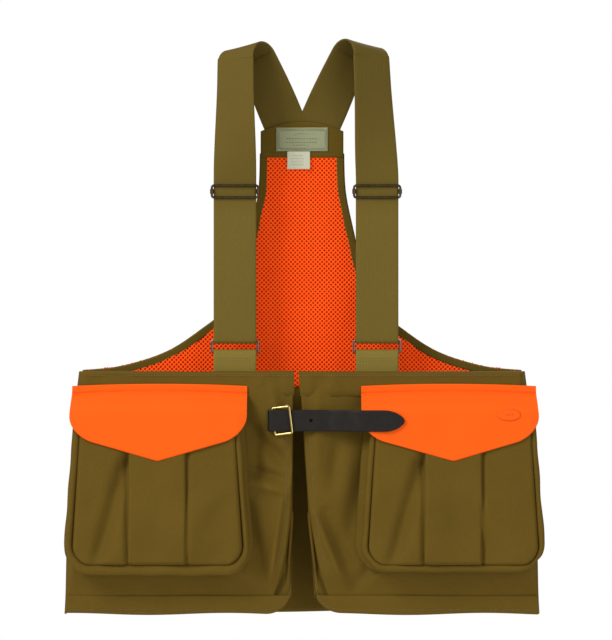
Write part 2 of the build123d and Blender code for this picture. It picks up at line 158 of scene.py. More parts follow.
class VestColours(bpy.types.PropertyGroup):
    """Colours of the cloth, leather and metal."""

    canvas: tint("Canvas", (0.112, 0.068, 0.0095), "Olive brown canvas")
    blaze: tint("Blaze", (0.88, 0.108, 0.0075), "Blaze cloth of the flaps")
    mesh: tint("Mesh", (0.92, 0.082, 0.0075), "Blaze mesh of the back")
    binding: tint("Binding", (0.108, 0.069, 0.0085), "Tape round the armholes")
    webbing: tint("Webbing", (0.111, 0.075, 0.0105), "Straps above the slides")
    webbing_worn: tint("Faded webbing", (0.195, 0.143, 0.0265), "Webbing of the ring tabs")
    leather: tint("Leather", (0.0058, 0.0050, 0.0042), "Closure strap")
    brass: tint("Brass", (0.62, 0.46, 0.17), "Closure frame, snap and rivets")
    bronze: tint("Bronze", (0.105, 0.077, 0.042), "Strap slides")
    nickel: tint("Nickel", (0.17, 0.16, 0.135), "Strap rings")
    label: tint("Label", (0.29, 0.305, 0.175), "Woven neck label")
    thread: tint("Thread", (0.15, 0.098, 0.024), "Thread on the canvas")


class VestStage(bpy.types.PropertyGroup):
    """Camera and light."""

    lens: FloatProperty(
        name="Lens", description="Focal length", default=200, subtype="DISTANCE_CAMERA"
    )
    distance: FloatProperty(
        name="Distance", description="Camera to the pockets", default=4.15, unit="LENGTH"
    )
    soft: FloatProperty(
        name="Soft light", description="Strength of the light from all round", default=0.56
    )
    key: FloatProperty(
        name="Key light", description="Power of the main light", default=105, unit="POWER"
    )


def sizes():
    return bpy.context.scene.vest_sizes


def colours():
    return bpy.context.scene.vest_colours


# ---- shapes ----
def mix(a, b, share):
    return a + (b - a) * share


def smooth(share):
    share = min(max(share, 0), 1)
    return share * share * (3 - 2 * share)


def roll(distance, radius):
    """Share of the full height at a distance inside an edge that rolls over."""
    share = min(max(distance / radius, 0), 1)
    return sqrt(1 - (1 - share) ** 2)


def bell(distance, width):
    return math.exp(-((distance / width) ** 2))


def crease(x, z, seed, size=0.06):
    """Soft, repeatable unevenness from -1 to 1."""
    return noise.noise(Vector((x / size, seed * 7.31, z / (1.6 * size))))


def corner_rise(distance, radius):
    """How far a rounded corner lifts an edge at a distance from its end."""
    if distance >= radius:
        return 0
    return radius - sqrt(max(radius**2 - (radius - distance) ** 2, 0))


def curve_through(points, share):
    """A smooth curve through points, evenly shared between them."""
    count = len(points) - 1
    step = min(int(share * count), count - 1)
    t = share * count - step
    before, a = points[max(step - 1, 0)], points[step]
    b, after = points[step + 1], points[min(step + 2, count)]
    return [
        0.5 * (2 * q + (r - p) * t + (2 * p - 5 * q + 4 * r - s) * t**2
               + (3 * q - p - 3 * r + s) * t**3)
        for p, q, r, s in zip(before, a, b, after)
    ]


def run_lengths(points):
    """How far along a line of points each one lies."""
    return [0, *accumulate((b - a).length for a, b in zip(points, points[1:]))]


def places_along(points, targets):
    """Each place, and the way the line runs there, at distances given by targets(total)."""
    runs, step = run_lengths(points), 0
    for target in targets(runs[-1]):
        while step < len(runs) - 2 and runs[step + 1] < target:
            step += 1
        share = (target - runs[step]) / max(runs[step + 1] - runs[step], 1e-9)
        yield points[step].lerp(points[step + 1], share), points[step + 1] - points[step]


def even(count):
    return [step / count for step in range(count + 1)]


def dense_ends(count):
    return [0.5 - 0.5 * cos(pi * step / count) for step in range(count + 1)]


def dense_end(count):
    return [sin(pi / 2 * step / count) for step in range(count + 1)]


def down(z):
    return (WAIST_TOP - z) / (WAIST_TOP - HEM)


def seam_x(z, side):
    return SIDES[side] * mix(SEAM_TOP, SEAM_HEM, down(z))


def front_edge_x(z, side):
    return FRONT_EDGE[side] + SIDES[side] * EDGE_DRAWN_BACK[side] * down(z)


# ---- meshes ----
def new_piece(name, vertices, faces, uvs, closed=False):
    mesh = bpy.data.meshes.new(name)
    mesh.from_pydata([tuple(v) for v in vertices], [], faces)
    layer = mesh.uv_layers.new(name="cloth")
    corners = [uvs[i] for face in faces for i in face]
    layer.data.foreach_set("uv", [number for corner in corners for number in corner])
    piece = bpy.data.objects.new(name, mesh)
    bpy.context.scene.collection.objects.link(piece)
    if closed:
        body = bmesh.new()
        body.from_mesh(mesh)
        bmesh.ops.recalc_face_normals(body, faces=body.faces)
        body.to_mesh(mesh)
        body.free()
    mesh.polygons.foreach_set("use_smooth", [True] * len(mesh.polygons))
    return piece


def modify(piece, kind, **settings):
    """Applies one modifier to a piece's mesh."""
    modifier = piece.modifiers.new(kind.lower(), kind)
    for key, value in settings.items():
        setattr(modifier, key, value)
    shown = piece.evaluated_get(bpy.context.evaluated_depsgraph_get())
    result = bpy.data.meshes.new_from_object(shown)
    piece.modifiers.clear()
    old, piece.data = piece.data, result
    bpy.data.meshes.remove(old)
    result.polygons.foreach_set("use_smooth", [True] * len(result.polygons))
    return piece


def cloth_piece(name, place, across, along, thickness, back=False):
    """A ply of cloth: place(u, v) gives its outer face, with u across it and v down it."""
    rows = [[Vector(place(u, v)) for u in across] for v in along]
    wide, half = len(across), len(across) // 2
    uvs, fallen = [], 0
    for number, row in enumerate(rows):
        if number:
            fallen += (row[half] - rows[number - 1][half]).length
        run = run_lengths(row)
        uvs += [(x - run[half], -fallen) for x in run]
    faces = []
    for j in range(len(rows) - 1):
        for i in range(wide - 1):
            corner = j * wide + i
            quad = (corner, corner + wide, corner + wide + 1, corner + 1)
            faces.append(quad[::-1] if back else quad)
    piece = new_piece(name, [v for row in rows for v in row], faces, uvs)
    if thickness:
        modify(piece, "SOLIDIFY", thickness=thickness, offset=-1, use_rim=True)
    return piece


def ribbon(name, sections, thickness, columns=10):
    """A strap with rounded edges through sections of (middle, across, run, width)."""
    arc, half = 4, thickness / 2
    vertices, uvs, run_length = [], [], 0
    for number, (place, across, run, width) in enumerate(sections):
        if number:
            run_length += (place - sections[number - 1][0]).length
        across = across.normalized()
        out = run.cross(across).normalized()
        flat = max(width / 2 - half, 0)
        loop = [(mix(-flat, flat, i / columns), half) for i in range(columns + 1)]
        bend = [(flat + half * sin(pi * i / arc), half * cos(pi * i / arc)) for i in range(1, arc)]
        loop += bend
        loop += [(mix(flat, -flat, i / columns), -half) for i in range(columns + 1)]
        loop += [(-x, -y) for x, y in bend]
        for x, y in loop:
            vertices.append(place + across * x + out * y)
            uvs.append((x, run_length))
    size = len(loop)
    faces = [tuple(range(size)), tuple(range(len(vertices) - 1, len(vertices) - 1 - size, -1))]
    for j in range(len(sections) - 1):
        for i in range(size):
            after = (i + 1) % size
            ring, following = j * size, (j + 1) * size
            faces.append((ring + i, ring + after, following + after, following + i))
    return new_piece(name, vertices, faces, uvs, closed=True)


def path_sections(points, across, width, steps):
    """Sections of a strap along a smooth path; width(share, place) is its width there."""
    middles = [Vector(curve_through(points, share)) for share in even(steps)]
    sections = []
    for number, place in enumerate(middles):
        ahead = middles[min(number + 1, steps)] - middles[max(number - 1, 0)]
        sections.append((place, Vector(across), ahead.normalized(), width(number / steps, place)))
    return sections


def sewn(piece, *nodes, body="root", slot="canvas", finish=None):
    """Gives a piece its finish, its body and the nodes that it stands for."""
    piece.data.materials.clear()
    piece.data.materials.append(finish or FINISHES[slot]())
    if nodes:
        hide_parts(*nodes)
    if body:
        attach(piece, body)
    return piece


# ---- stitches ----
STITCH_PITCH = 1.3  # from one stitch to the next, in stitches


def stitch_row(rows, path, proud, count=200):
    """Adds stitches along path(t), standing proud of the cloth towards a direction."""
    stitch = sizes().stitch
    pitch = stitch * STITCH_PITCH

    def ends(total):
        for number in range(int(total / pitch)):
            yield from (number * pitch, number * pitch + stitch)

    found = [place for place, _ in places_along([Vector(path(t)) for t in even(count)], ends)]
    rows += [(a, b, Vector(proud)) for a, b in zip(found[::2], found[1::2])]


def stitch_piece(name, rows, body, finish, slot="canvas", radius=0.42 * MM):
    vertices, faces, uvs = [], [], []
    for a, b, proud in rows:
        run = (b - a).normalized()
        aside = run.cross(proud).normalized()
        middle_point = (a + b) / 2
        first = len(vertices)
        vertices += [a - proud * radius, b - proud * radius]
        vertices += [
            middle_point + (aside * cos(pi * k / 2) + proud * sin(pi * k / 2)) * radius
            for k in range(4)
        ]
        uvs += [(0, 0)] * 6
        for k in range(4):
            ring, following = first + 2 + k, first + 2 + (k + 1) % 4
            faces += [(first, ring, following), (first + 1, following, ring)]
    piece = new_piece(name, vertices, faces, uvs, closed=True)
    return sewn(piece, body=body, slot=slot, finish=finish)


# ---- finishes ----
class Level:
    """A number that varies over a surface; arithmetic on it adds Math nodes."""

    def __init__(self, finish, socket):
        self.finish, self.socket = finish, socket

    def math(self, operation, *values):
        node = self.finish.node("ShaderNodeMath", {"operation": operation},
                                dict(enumerate(values)))
        return Level(self.finish, node.outputs[0])

    def __add__(self, other):
        return self.math("ADD", self, other)

    def __sub__(self, other):
        return self.math("SUBTRACT", self, other)

    def __rsub__(self, other):
        return self.math("SUBTRACT", other, self)

    def __mul__(self, other):
        return self.math("MULTIPLY", self, other)

    __radd__, __rmul__ = __add__, __mul__

    def wave(self):
        return self.math("SINE", self)

    def clamped(self):
        return self.math("MINIMUM", self.math("MAXIMUM", self, 0.0), 1.0)


class Finish:
    """One material, with its nodes added through node()."""

    def __init__(self, name):
        self.material = bpy.data.materials.new(name)
        self.material.use_nodes = True
        self.tree = self.material.node_tree
        self.shader = self.tree.nodes["Principled BSDF"]

    def node(self, kind, settings=None, sockets=None):
        node = self.tree.nodes.new(kind)
        for key, value in (settings or {}).items():
            setattr(node, key, value)
        for key, value in (sockets or {}).items():
            self.feed(node.inputs[key], value)
        return node

    def feed(self, socket, value):
        if isinstance(value, Level):
            value = value.socket
        if isinstance(value, bpy.types.NodeSocket):
            self.tree.links.new(value, socket)
        elif hasattr(value, "__len__") and len(value) == 3 and len(socket.default_value) == 4:
            socket.default_value = (*value, 1)
        else:
            socket.default_value = value

    def cloth_run(self):
        """Distance across and along a ply, in metres."""
        uv = self.node("ShaderNodeUVMap", {"uv_map": "cloth"})
        split = self.node("ShaderNodeSeparateXYZ", None, {0: uv.outputs[0]})
        return Level(self, split.outputs[0]), Level(self, split.outputs[1])

    def speckle(self, size, detail=3.0, rough=0.55):
        place = self.node("ShaderNodeTexCoord").outputs["Object"]
        cloud = self.node("ShaderNodeTexNoise", None, {
            "Vector": place, "Scale": 1 / size, "Detail": detail, "Roughness": rough})
        return Level(self, cloud.outputs["Fac"])

    def blend(self, share, a, b):
        node = self.node("ShaderNodeMix", {"data_type": "RGBA"}, {0: share, 6: a, 7: b})
        return node.outputs[2]

    def bump(self, height, distance, strength=1.0):
        node = self.node("ShaderNodeBump", None, {
            "Height": height, "Distance": distance, "Strength": strength})
        self.feed(self.shader.inputs["Normal"], node.outputs[0])

    def set(self, **values):
        for key, value in values.items():
            self.feed(self.shader.inputs[key.replace("_", " ")], value)
        return self.material


def shade(colour, factor):
    return tuple(min(c * factor, 1) for c in colour)


def kept(make):
    """Makes a finish once and gives it out again."""
    made = {}

    def once(*choice):
        if choice not in made:
            made[choice] = make(*choice)
        return made[choice]

    return once


def woven(name, colour, pitch, contrast, diagonal=False, sheen=0.0, depth=0.12 * MM,
          glow=0.0):
    """Plain or twill weave, with patches of wear and a slubby thread."""
    finish = Finish(name)
    across, along = finish.cloth_run()
    turn = 2 * pi / pitch
    if diagonal:
        weave = ((across + along) * turn).wave() * 0.5 + 0.5
    else:
        weave = (across * turn).wave() * (along * turn).wave() * 0.5 + 0.5
    slub = finish.speckle(2.2 * MM, 4.0)
    patches = finish.speckle(70 * MM, 3.0)
    tone = (weave * 0.35 + slub * 0.35 + patches * 0.3).clamped()
    base = finish.blend(tone, shade(colour, 1 - contrast), shade(colour, 1 + contrast))
    finish.bump(weave * 0.6 + slub * 0.4, depth)
    # Painted light: glow gives the cloth's colour out as emission, though it is no lamp.
    if glow:
        finish.set(Emission_Color=base, Emission_Strength=glow)
    return finish.set(Base_Color=base, Roughness=(0.8 + patches * 0.14).clamped(),
                      Sheen_Weight=sheen, Sheen_Roughness=0.5, Specular_IOR_Level=0.06)


@kept
def canvas():
    return woven("olive_canvas", colours().canvas, 1.1 * MM, 0.34)


@kept
def canvas_lining_painted_shade():
    # Painted shade: the canvas colour darkened to 0.72 for the lining seen between the fronts,
    # which lies in shade.
    return woven("canvas_lining_painted_shade", shade(colours().canvas, 0.72), 1.1 * MM, 0.24)


@kept
def blaze_cloth():
    return woven("blaze_twill", colours().blaze, 1.0 * MM, 0.06, True, 0.0, 0.08 * MM)


@kept
def blaze_mesh():
    # glow=0.24 is painted light: emission that keeps the mesh bright where the straps shade it.
    return woven("blaze_knit", colours().mesh, 0.9 * MM, 0.09, glow=0.24)


@kept
def mesh_backing_painted_shade():
    # Painted shade: the mesh colour halved so the holes read dark; its glow of 0.06 is painted
    # light.
    return woven("blaze_backing_painted_shade", shade(colours().mesh, 0.5), 0.9 * MM, 0.08, glow=0.06)


@kept
def binding():
    return woven("binding_tape", colours().binding, 1.4 * MM, 0.3)


STRAP_FADE = 0.22  # how far the straps below the slides fade towards the ring tabs' colour


@kept
def webbing():
    """Cotton webbing with ribs along its length, most faded at the ring tabs."""
    finish = Finish("webbing")
    across, along = finish.cloth_run()
    ribs = (across * (2 * pi / (1.9 * MM))).wave() * 0.5 + 0.5
    picks = (along * (2 * pi / (1.3 * MM)) + ribs * 3.0).wave() * 0.5 + 0.5
    slub = finish.speckle(3 * MM, 4.0)
    patches = finish.speckle(60 * MM)
    place = finish.node("ShaderNodeTexCoord").outputs["Object"]
    height = Level(finish, finish.node("ShaderNodeSeparateXYZ", None, {0: place}).outputs[2])
    slide_z, tab_top = middle("slide_frame_left").z, low("strap_ring_left").z + 6 * MM
    fade = ((slide_z - height) * 30 + 0.15).clamped() * STRAP_FADE + (
        (tab_top - height) * 400).clamped() * (1 - STRAP_FADE)
    tone = (ribs * 0.45 + picks * 0.15 + slub * 0.2 + patches * 0.25).clamped()
    plain, worn = colours().webbing, colours().webbing_worn
    base = finish.blend(tone, finish.blend(fade, shade(plain, 0.82), shade(worn, 0.82)),
                        finish.blend(fade, shade(plain, 1.16), shade(worn, 1.16)))
    finish.bump(ribs * 0.7 + picks * 0.3, 0.12 * MM)
    return finish.set(Base_Color=base, Roughness=(0.72 + slub * 0.2).clamped(),
                      Specular_IOR_Level=0.15)


@kept
def leather():
    """Bridle leather: fine pebbled grain, waxy shine and scuffs."""
    finish = Finish("bridle_leather")
    place = finish.node("ShaderNodeTexCoord").outputs["Object"]
    cells = finish.node("ShaderNodeTexVoronoi", {"feature": "SMOOTH_F1"},
                        {"Vector": place, "Scale": 1 / (1.5 * MM), "Smoothness": 0.6})
    grain = Level(finish, cells.outputs["Distance"])
    scuffs = finish.speckle(9 * MM, 6.0, 0.7)
    colour = colours().leather
    base = finish.blend((scuffs * 1.6 - 0.35).clamped(), shade(colour, 0.75),
                        (colour[0] * 2.3, colour[1] * 1.75, colour[2] * 1.35))
    finish.bump(grain * 0.7 + scuffs * 0.3, 0.16 * MM)
    return finish.set(Base_Color=base, Roughness=(0.42 + scuffs * 0.22).clamped(),
                      Specular_IOR_Level=0.24)


def metal(name, colour, dark, roughness):
    """Polished high spots over tarnish."""
    finish = Finish(name)
    tarnish = finish.speckle(4 * MM, 5.0, 0.65)
    scratches = finish.speckle(0.8 * MM, 2.0)
    base = finish.blend((tarnish * 1.8 - 0.4).clamped(), shade(colour, dark), colour)
    finish.bump(scratches, 0.04 * MM)
    return finish.set(Base_Color=base, Metallic=1.0,
                      Roughness=(tarnish * 0.22 + roughness).clamped())


@kept
def brass():
    return metal("brass", colours().brass, 0.72, 0.14)


@kept
def bronze_wire():
    return metal("antique_bronze", colours().bronze, 0.35, 0.26)


@kept
def nickel_wire():
    return metal("nickel", colours().nickel, 0.6, 0.16)


@kept
def label_cloth():
    """Damask label cloth."""
    return woven("woven_label", colours().label, 0.7 * MM, 0.16, True, 0.3)


@kept
def plain_thread(kind):
    tones = {"canvas": colours().thread, "blaze": shade(colours().blaze, 0.72),
             "label": (0.10, 0.11, 0.055), "webbing": shade(colours().webbing, 0.6),
             "pale": (0.52, 0.53, 0.38), "badge": (0.16, 0.022, 0.008)}
    finish = Finish(f"thread_{kind}")
    twist = finish.speckle(0.6 * MM, 2.0)
    base = finish.blend(twist, shade(tones[kind], 0.75), shade(tones[kind], 1.2))
    finish.bump(twist, 0.06 * MM)
    return finish.set(Base_Color=base, Roughness=(0.6 + twist * 0.15).clamped(),
                      Sheen_Weight=0.2)


FINISHES = {"canvas": canvas, "blaze_cloth": blaze_cloth, "blaze_mesh": blaze_mesh,
            "binding": binding, "webbing": webbing, "bronze_wire": bronze_wire,
            "nickel_wire": nickel_wire, "leather": leather, "brass": brass,
            "label_cloth": label_cloth, "badge": blaze_cloth}


# ---- waist ----
FRONT_CORNER = 30 * MM  # radius of the lower front corners
HEM_LAP = 6 * MM  # the hem facing starts this far below the hem band's top
HEM_PROUD = 3.6 * MM
EDGE_ROLL = 7 * MM


def front_x(side, u, z):
    return mix(front_edge_x(z, side), seam_x(z, side), u)


def front_width(side, z=BAG_FLOOR):
    return abs(seam_x(z, side) - front_edge_x(z, side))


def make_waist(side):
    thick, turned = sizes().cloth, side == "left"

    def lining(u, v, top=WAIST_TOP - 3 * MM, proud=0.0):
        rise = corner_rise(u * front_width(side), FRONT_CORNER)
        wave = 1.2 * MM * sin(u * 9 + SIDES[side]) * (1 - rise / FRONT_CORNER)
        z = mix(top, HEM + rise + wave, v)
        x = front_x(side, u, z)
        return x, PANEL_OUT - proud + 1.0 * MM * crease(x, z, 11, 0.09), z

    across = dense_ends(70)
    piece = cloth_piece(f"front_lining_{side}", lining, across, even(60), thick, turned)
    # the lining's finish is darkened canvas: painted shade
    sewn(piece, f"front_panel_{side}", finish=canvas_lining_painted_shade())
    high("front_panel_right").x

    def hem_ply(u, v):
        x, y, z = lining(u, v, HEM_TOP - HEM_LAP, HEM_PROUD)
        return x, y - 0.8 * MM * roll((1 - abs(2 * v - 1)) * 22 * MM, 2 * MM), z

    sewn(cloth_piece(f"hem_facing_{side}", hem_ply, across, even(18), thick, turned),
         f"hem_band_{side}")

    def fold(u, v):
        z = mix(WAIST_TOP - 1 * MM, HEM, v)
        swell = (1 - abs(2 * u - 1) ** 3.2) ** 0.5
        y = mix(PANEL_OUT - 1 * MM, BACK_OUT + 0.6 * MM, u)
        out = SIDE_FOLD * swell + (4.0 * crease(y, z, 5, 0.05) - 3.0 * bell(u - 0.5, 0.2)
                                   * smooth(down(z) * 2)) * MM * swell
        return seam_x(z, side) - SIDES[side] * 0.5 * MM + SIDES[side] * out, y, z

    sewn(cloth_piece(f"side_fold_{side}", fold, dense_ends(24), even(70), thick, turned),
         f"side_panel_{side}")


def make_back_panel():
    top = high("back_waist_panel").z

    def place(u, v):
        wave = 1.2 * MM * sin(u * 11)
        z = mix(top, HEM + wave, v)
        x = mix(seam_x(z, "left"), seam_x(z, "right"), u)
        edge = min(u, 1 - u) * 2 * SEAM_HEM
        return x, BACK_OUT + 0.3 * MM + 3.5 * MM * crease(x, z, 21, 0.06) * (
            roll(edge, 9 * MM) * smooth((top - z) / (30 * MM))), z

    piece = cloth_piece("back_waist_cloth", place, dense_ends(120), even(60), sizes().cloth, True)
    sewn(piece, "back_waist_panel")

    def hem_ply(u, v):
        x, y, z = place(u, mix((top - HEM_TOP) / (top - HEM), 1, v))
        return x, y + 1.3 * MM, z

    sewn(cloth_piece("back_hem_facing", hem_ply, dense_ends(120), even(14), sizes().cloth, True))


BAG_DRAWN_IN = {"left": 22 * MM, "right": 17 * MM}
BAG_ROLL = 9 * MM  # over which a bag's side rounds over
BAG_FLOOR_TURN = 38 * MM  # over which it closes towards its floor
BAG_SEAM = 4 * MM  # the floor's seam, above the bag's lowest edge
GUSSET_TOP = 128 * MM  # the gusset down a bag's front edge starts this far below the waist's top
GUSSET_SWELL = 3 * MM
GUSSET_PLEAT = 2.4 * MM


def bag_edge(side, z):
    """How far a bag's front edge is drawn in from the lining's edge at a height."""
    lower = min(max((down(z) - 0.46) / 0.5, 0), 1)
    return BAG_DRAWN_IN[side] * lower**2.1 + 0.6 * MM


def bag_point(side, u, v):
    """Outer face of a front-loading bag: full in the middle, sewn down at side and bottom."""
    width = front_width(side)
    floor = BAG_FLOOR + BAG_SEAM
    z = mix(WAIST_TOP - 5 * MM, floor, v)
    inset = mix(bag_edge(side, z), width, u)
    x = front_x(side, inset / width, z)
    full = roll(width - inset, BAG_ROLL) * mix(0.12, 1, smooth((z - floor) / BAG_FLOOR_TURN))
    y = mix(PANEL_OUT - 1.2 * MM, BAG_OUT, full)
    hang = smooth(inset / (12 * MM)) * full
    y -= folds(side, inset, z) * full * smooth(inset / (5 * MM) + 0.4)
    y += 3.0 * MM * (1 - roll(inset - bag_edge(side, z), 3 * MM))
    y -= 2.6 * sizes().creases * crease(x, z, 3 + SIDES[side], 0.045) * hang
    return x, y, z


# each in mm: from and to (distance from the front edge, height above the hem), width, depth
BAG_FOLDS = {
    "left": [((55, 222), (6, 172), 8.5, -7.0), ((27, 262), (13, 200), 6.5, 3.6),
             ((50, 154), (2, 142), 7.5, 6.4), ((58, 172), (10, 158), 6, -5.0),
             ((54, 126), (30, 28), 10, -8.0), ((13, 132), (27, 22), 5, 6.4),
             ((80, 60), (44, 34), 9, 4.0), ((45, 216), (41, 146), 8, -6.0)],
    "right": [((74, 62), (40, 22), 8, -5.6), ((8, 116), (40, 20), 5.5, 6.2),
              ((74, 186), (46, 92), 12, -7.5), ((20, 256), (13, 172), 8, 3.0),
              ((40, 200), (30, 150), 9, -5.0), ((22, 120), (52, 30), 7, -5.0)],
}


def folds(side, inset, z):
    """How far the folds beside a front edge stand out."""
    height, out = z - HEM, 0
    for (x0, z0), (x1, z1), wide, depth in BAG_FOLDS[side]:
        start, run = Vector((x0, z0)) * MM, Vector((x1 - x0, z1 - z0)) * MM
        away = Vector((inset, height)) - start
        share = min(max(away.dot(run) / run.length_squared, 0), 1)
        apart = (away - run * share).length
        out += depth * MM * bell(apart, wide * MM) * (0.55 + 0.45 * sin(pi * share))
    return out


def make_bag(side):
    piece = cloth_piece(f"front_bag_cloth_{side}", lambda u, v: bag_point(side, u, v),
                        dense_ends(150), even(130), sizes().cloth, side == "left")
    sewn(piece, f"front_bag_{side}", f"front_bag_strip_{side}")

    def gusset(u, v):
        z = mix(WAIST_TOP - GUSSET_TOP, BAG_FLOOR + 5 * MM, v)
        outer, inner = bag_edge(side, z) + 1.5 * MM, 1.8 * MM
        swell = GUSSET_SWELL * sin(pi * min(1.25 * u, 1)) * sin(pi * v) ** 0.6
        x = front_x(side, mix(outer, inner, u) / front_width(side), z) - SIDES[side] * swell
        pleat = GUSSET_PLEAT * sin(2 * pi * u) * sin(pi * v)
        front = mix(BAG_OUT, PANEL_OUT - 2 * MM, smooth(1.15 * v - 0.15))
        return x, mix(front + 2 * MM, PANEL_OUT - 0.6 * MM, u) + pleat, z

    sewn(cloth_piece(f"front_bag_gusset_{side}", gusset, even(24), even(70), sizes().cloth,
                     side == "right"))


GATHER_PITCH = 5.2 * MM
GATHER_HEIGHT = 1.7 * MM
GATHERED = 24 * MM  # the gathers' middle, from the front edge
GATHER_SPREAD = 22 * MM


def make_band(side):
    profile = [  # depth and height, from inside the top edge, over it and down the front
        (PANEL_OUT + 0.5 * MM, WAIST_TOP - 5 * MM), (PANEL_OUT - 0.6 * MM, WAIST_TOP - 1.2 * MM),
        (PANEL_OUT - 5 * MM, WAIST_TOP), (BAND_OUT + 4 * MM, WAIST_TOP),
        (BAND_OUT, WAIST_TOP - 2.5 * MM), (BAND_OUT, WAIST_TOP - 9 * MM),
        (BAND_OUT, WAIST_TOP - 17 * MM), (BAND_OUT + 0.6 * MM, BAND_BOTTOM + 4 * MM),
        (BAG_OUT + 0.9 * MM, BAND_BOTTOM - 1 * MM),
    ]

    def place(u, v):
        y, z = curve_through(profile, v)
        x = front_x(side, u, z)
        inset = u * front_width(side, WAIST_TOP)
        full = roll(front_width(side, WAIST_TOP) - inset, EDGE_ROLL)
        front = smooth((WAIST_TOP - z) / (4 * MM)) * full
        gathers = sin(inset / GATHER_PITCH) * bell(inset - GATHERED, GATHER_SPREAD)
        y -= front * (GATHER_HEIGHT * gathers * smooth((WAIST_TOP - z) / (14 * MM))
                      + 1.0 * MM * crease(x, z, 8, 0.03))
        z += 0.8 * MM * crease(x, 0, 9, 0.05)
        return x, mix(PANEL_OUT, y, full), z

    sewn(cloth_piece(f"waist_band_{side}", place, dense_ends(150), even(40), sizes().cloth,
                     side == "left"), f"top_band_{side}")


# ---- bellows pockets ----
HALF_TOP = 89 * MM
HALF_BOTTOM = 100 * MM
POCKET_CORNER = 24 * MM
PLEAT_HALF = 32.5 * MM
PLEAT_PROUD = 2.3 * MM
POCKET_FULL = 4.5 * MM  # how far a face fills out below its flap
GROOVE = 4.6 * MM  # depth of the grooves beside the pleat
SLANT_FOLD = 8 * MM  # depth of the fold that slants down from the pleat
FOLD_FADE = 24 * MM  # over which folds die out towards a face's edge
FACE_TURN = 5 * MM  # how far a face's edge turns back
POCKET_FLARE = 5 * MM  # how much wider a pocket is where it is sewn on
# the bellows' section, from the face to the bag, in mm: outwards, and back from the face
BELLOWS = [(-1.6, 8.5), (-0.2, 6), (1.2, 3.4), (3, 2.8), (4.6, 4.6), (4.4, 8.5), (1.6, 12),
           (3, 17), (3.6, 20.5), (1, 24.5)]


def pocket_half(z):
    """Half width of the pocket's face at a height."""
    half = mix(HALF_TOP, HALF_BOTTOM, (POCKET_TOP - z) / (POCKET_TOP - POCKET_BOTTOM))
    return half - corner_rise(z - POCKET_BOTTOM, POCKET_CORNER)


def pocket_edge(centre, widen, count):
    """Points down one side of a pocket, along its bottom and up the other side."""
    radius = POCKET_CORNER + widen
    bottom = POCKET_BOTTOM - widen
    half = HALF_BOTTOM + widen
    right = [(centre + mix(HALF_TOP + widen, half, t), mix(POCKET_TOP, bottom + radius, t))
             for t in even(60)]
    right += [(centre + half - radius + radius * cos(a), bottom + radius - radius * sin(a))
              for a in (pi / 2 * t for t in even(30)[1:])]
    right += [(centre + mix(half - radius, 0, t), bottom) for t in even(40)[1:]]
    left = [(2 * centre - x, z) for x, z in right]
    line = [Vector(p) for p in left + right[-2::-1]]
    found = places_along(line, lambda total: (share * total for share in even(count)))
    return [(place, Vector((run.y, -run.x)).normalized()) for place, run in found]


def face_y(side, x, z):
    """Depth of a pocket's face, which fills out below its flap."""
    aside = x - POCKET_FACE_X[side]
    edge = min(pocket_half(z) - abs(aside), z - POCKET_BOTTOM)
    drop = (POCKET_TOP - z) / (POCKET_TOP - POCKET_BOTTOM)
    y = FACE_OUT - POCKET_FULL * smooth((drop - 0.25) / 0.4) * roll(edge, 50 * MM)
    lower = smooth((drop - 0.2) / 0.15)
    y += GROOVE * bell(aside + PLEAT_HALF + 2.4 * MM, 3.0 * MM) * lower
    y += GROOVE * bell(aside - PLEAT_HALF - 1.6 * MM, 2.0 * MM)
    slant = aside + PLEAT_HALF + 4 * MM + 50 * MM * (drop - 0.3)
    y += SLANT_FOLD * bell(slant, 9 * MM) * lower * roll(edge, FOLD_FADE)
    below_flap = smooth((drop - 0.42) / 0.2)
    tilt = 0.35 * SIDES[side] * (z - POCKET_BOTTOM)
    y -= 5.0 * sizes().creases * crease(x + tilt, z, 30 + SIDES[side], 0.04) * (
        roll(edge, FOLD_FADE) * below_flap)
    return y + FACE_TURN * (1 - roll(edge, 4.5 * MM))


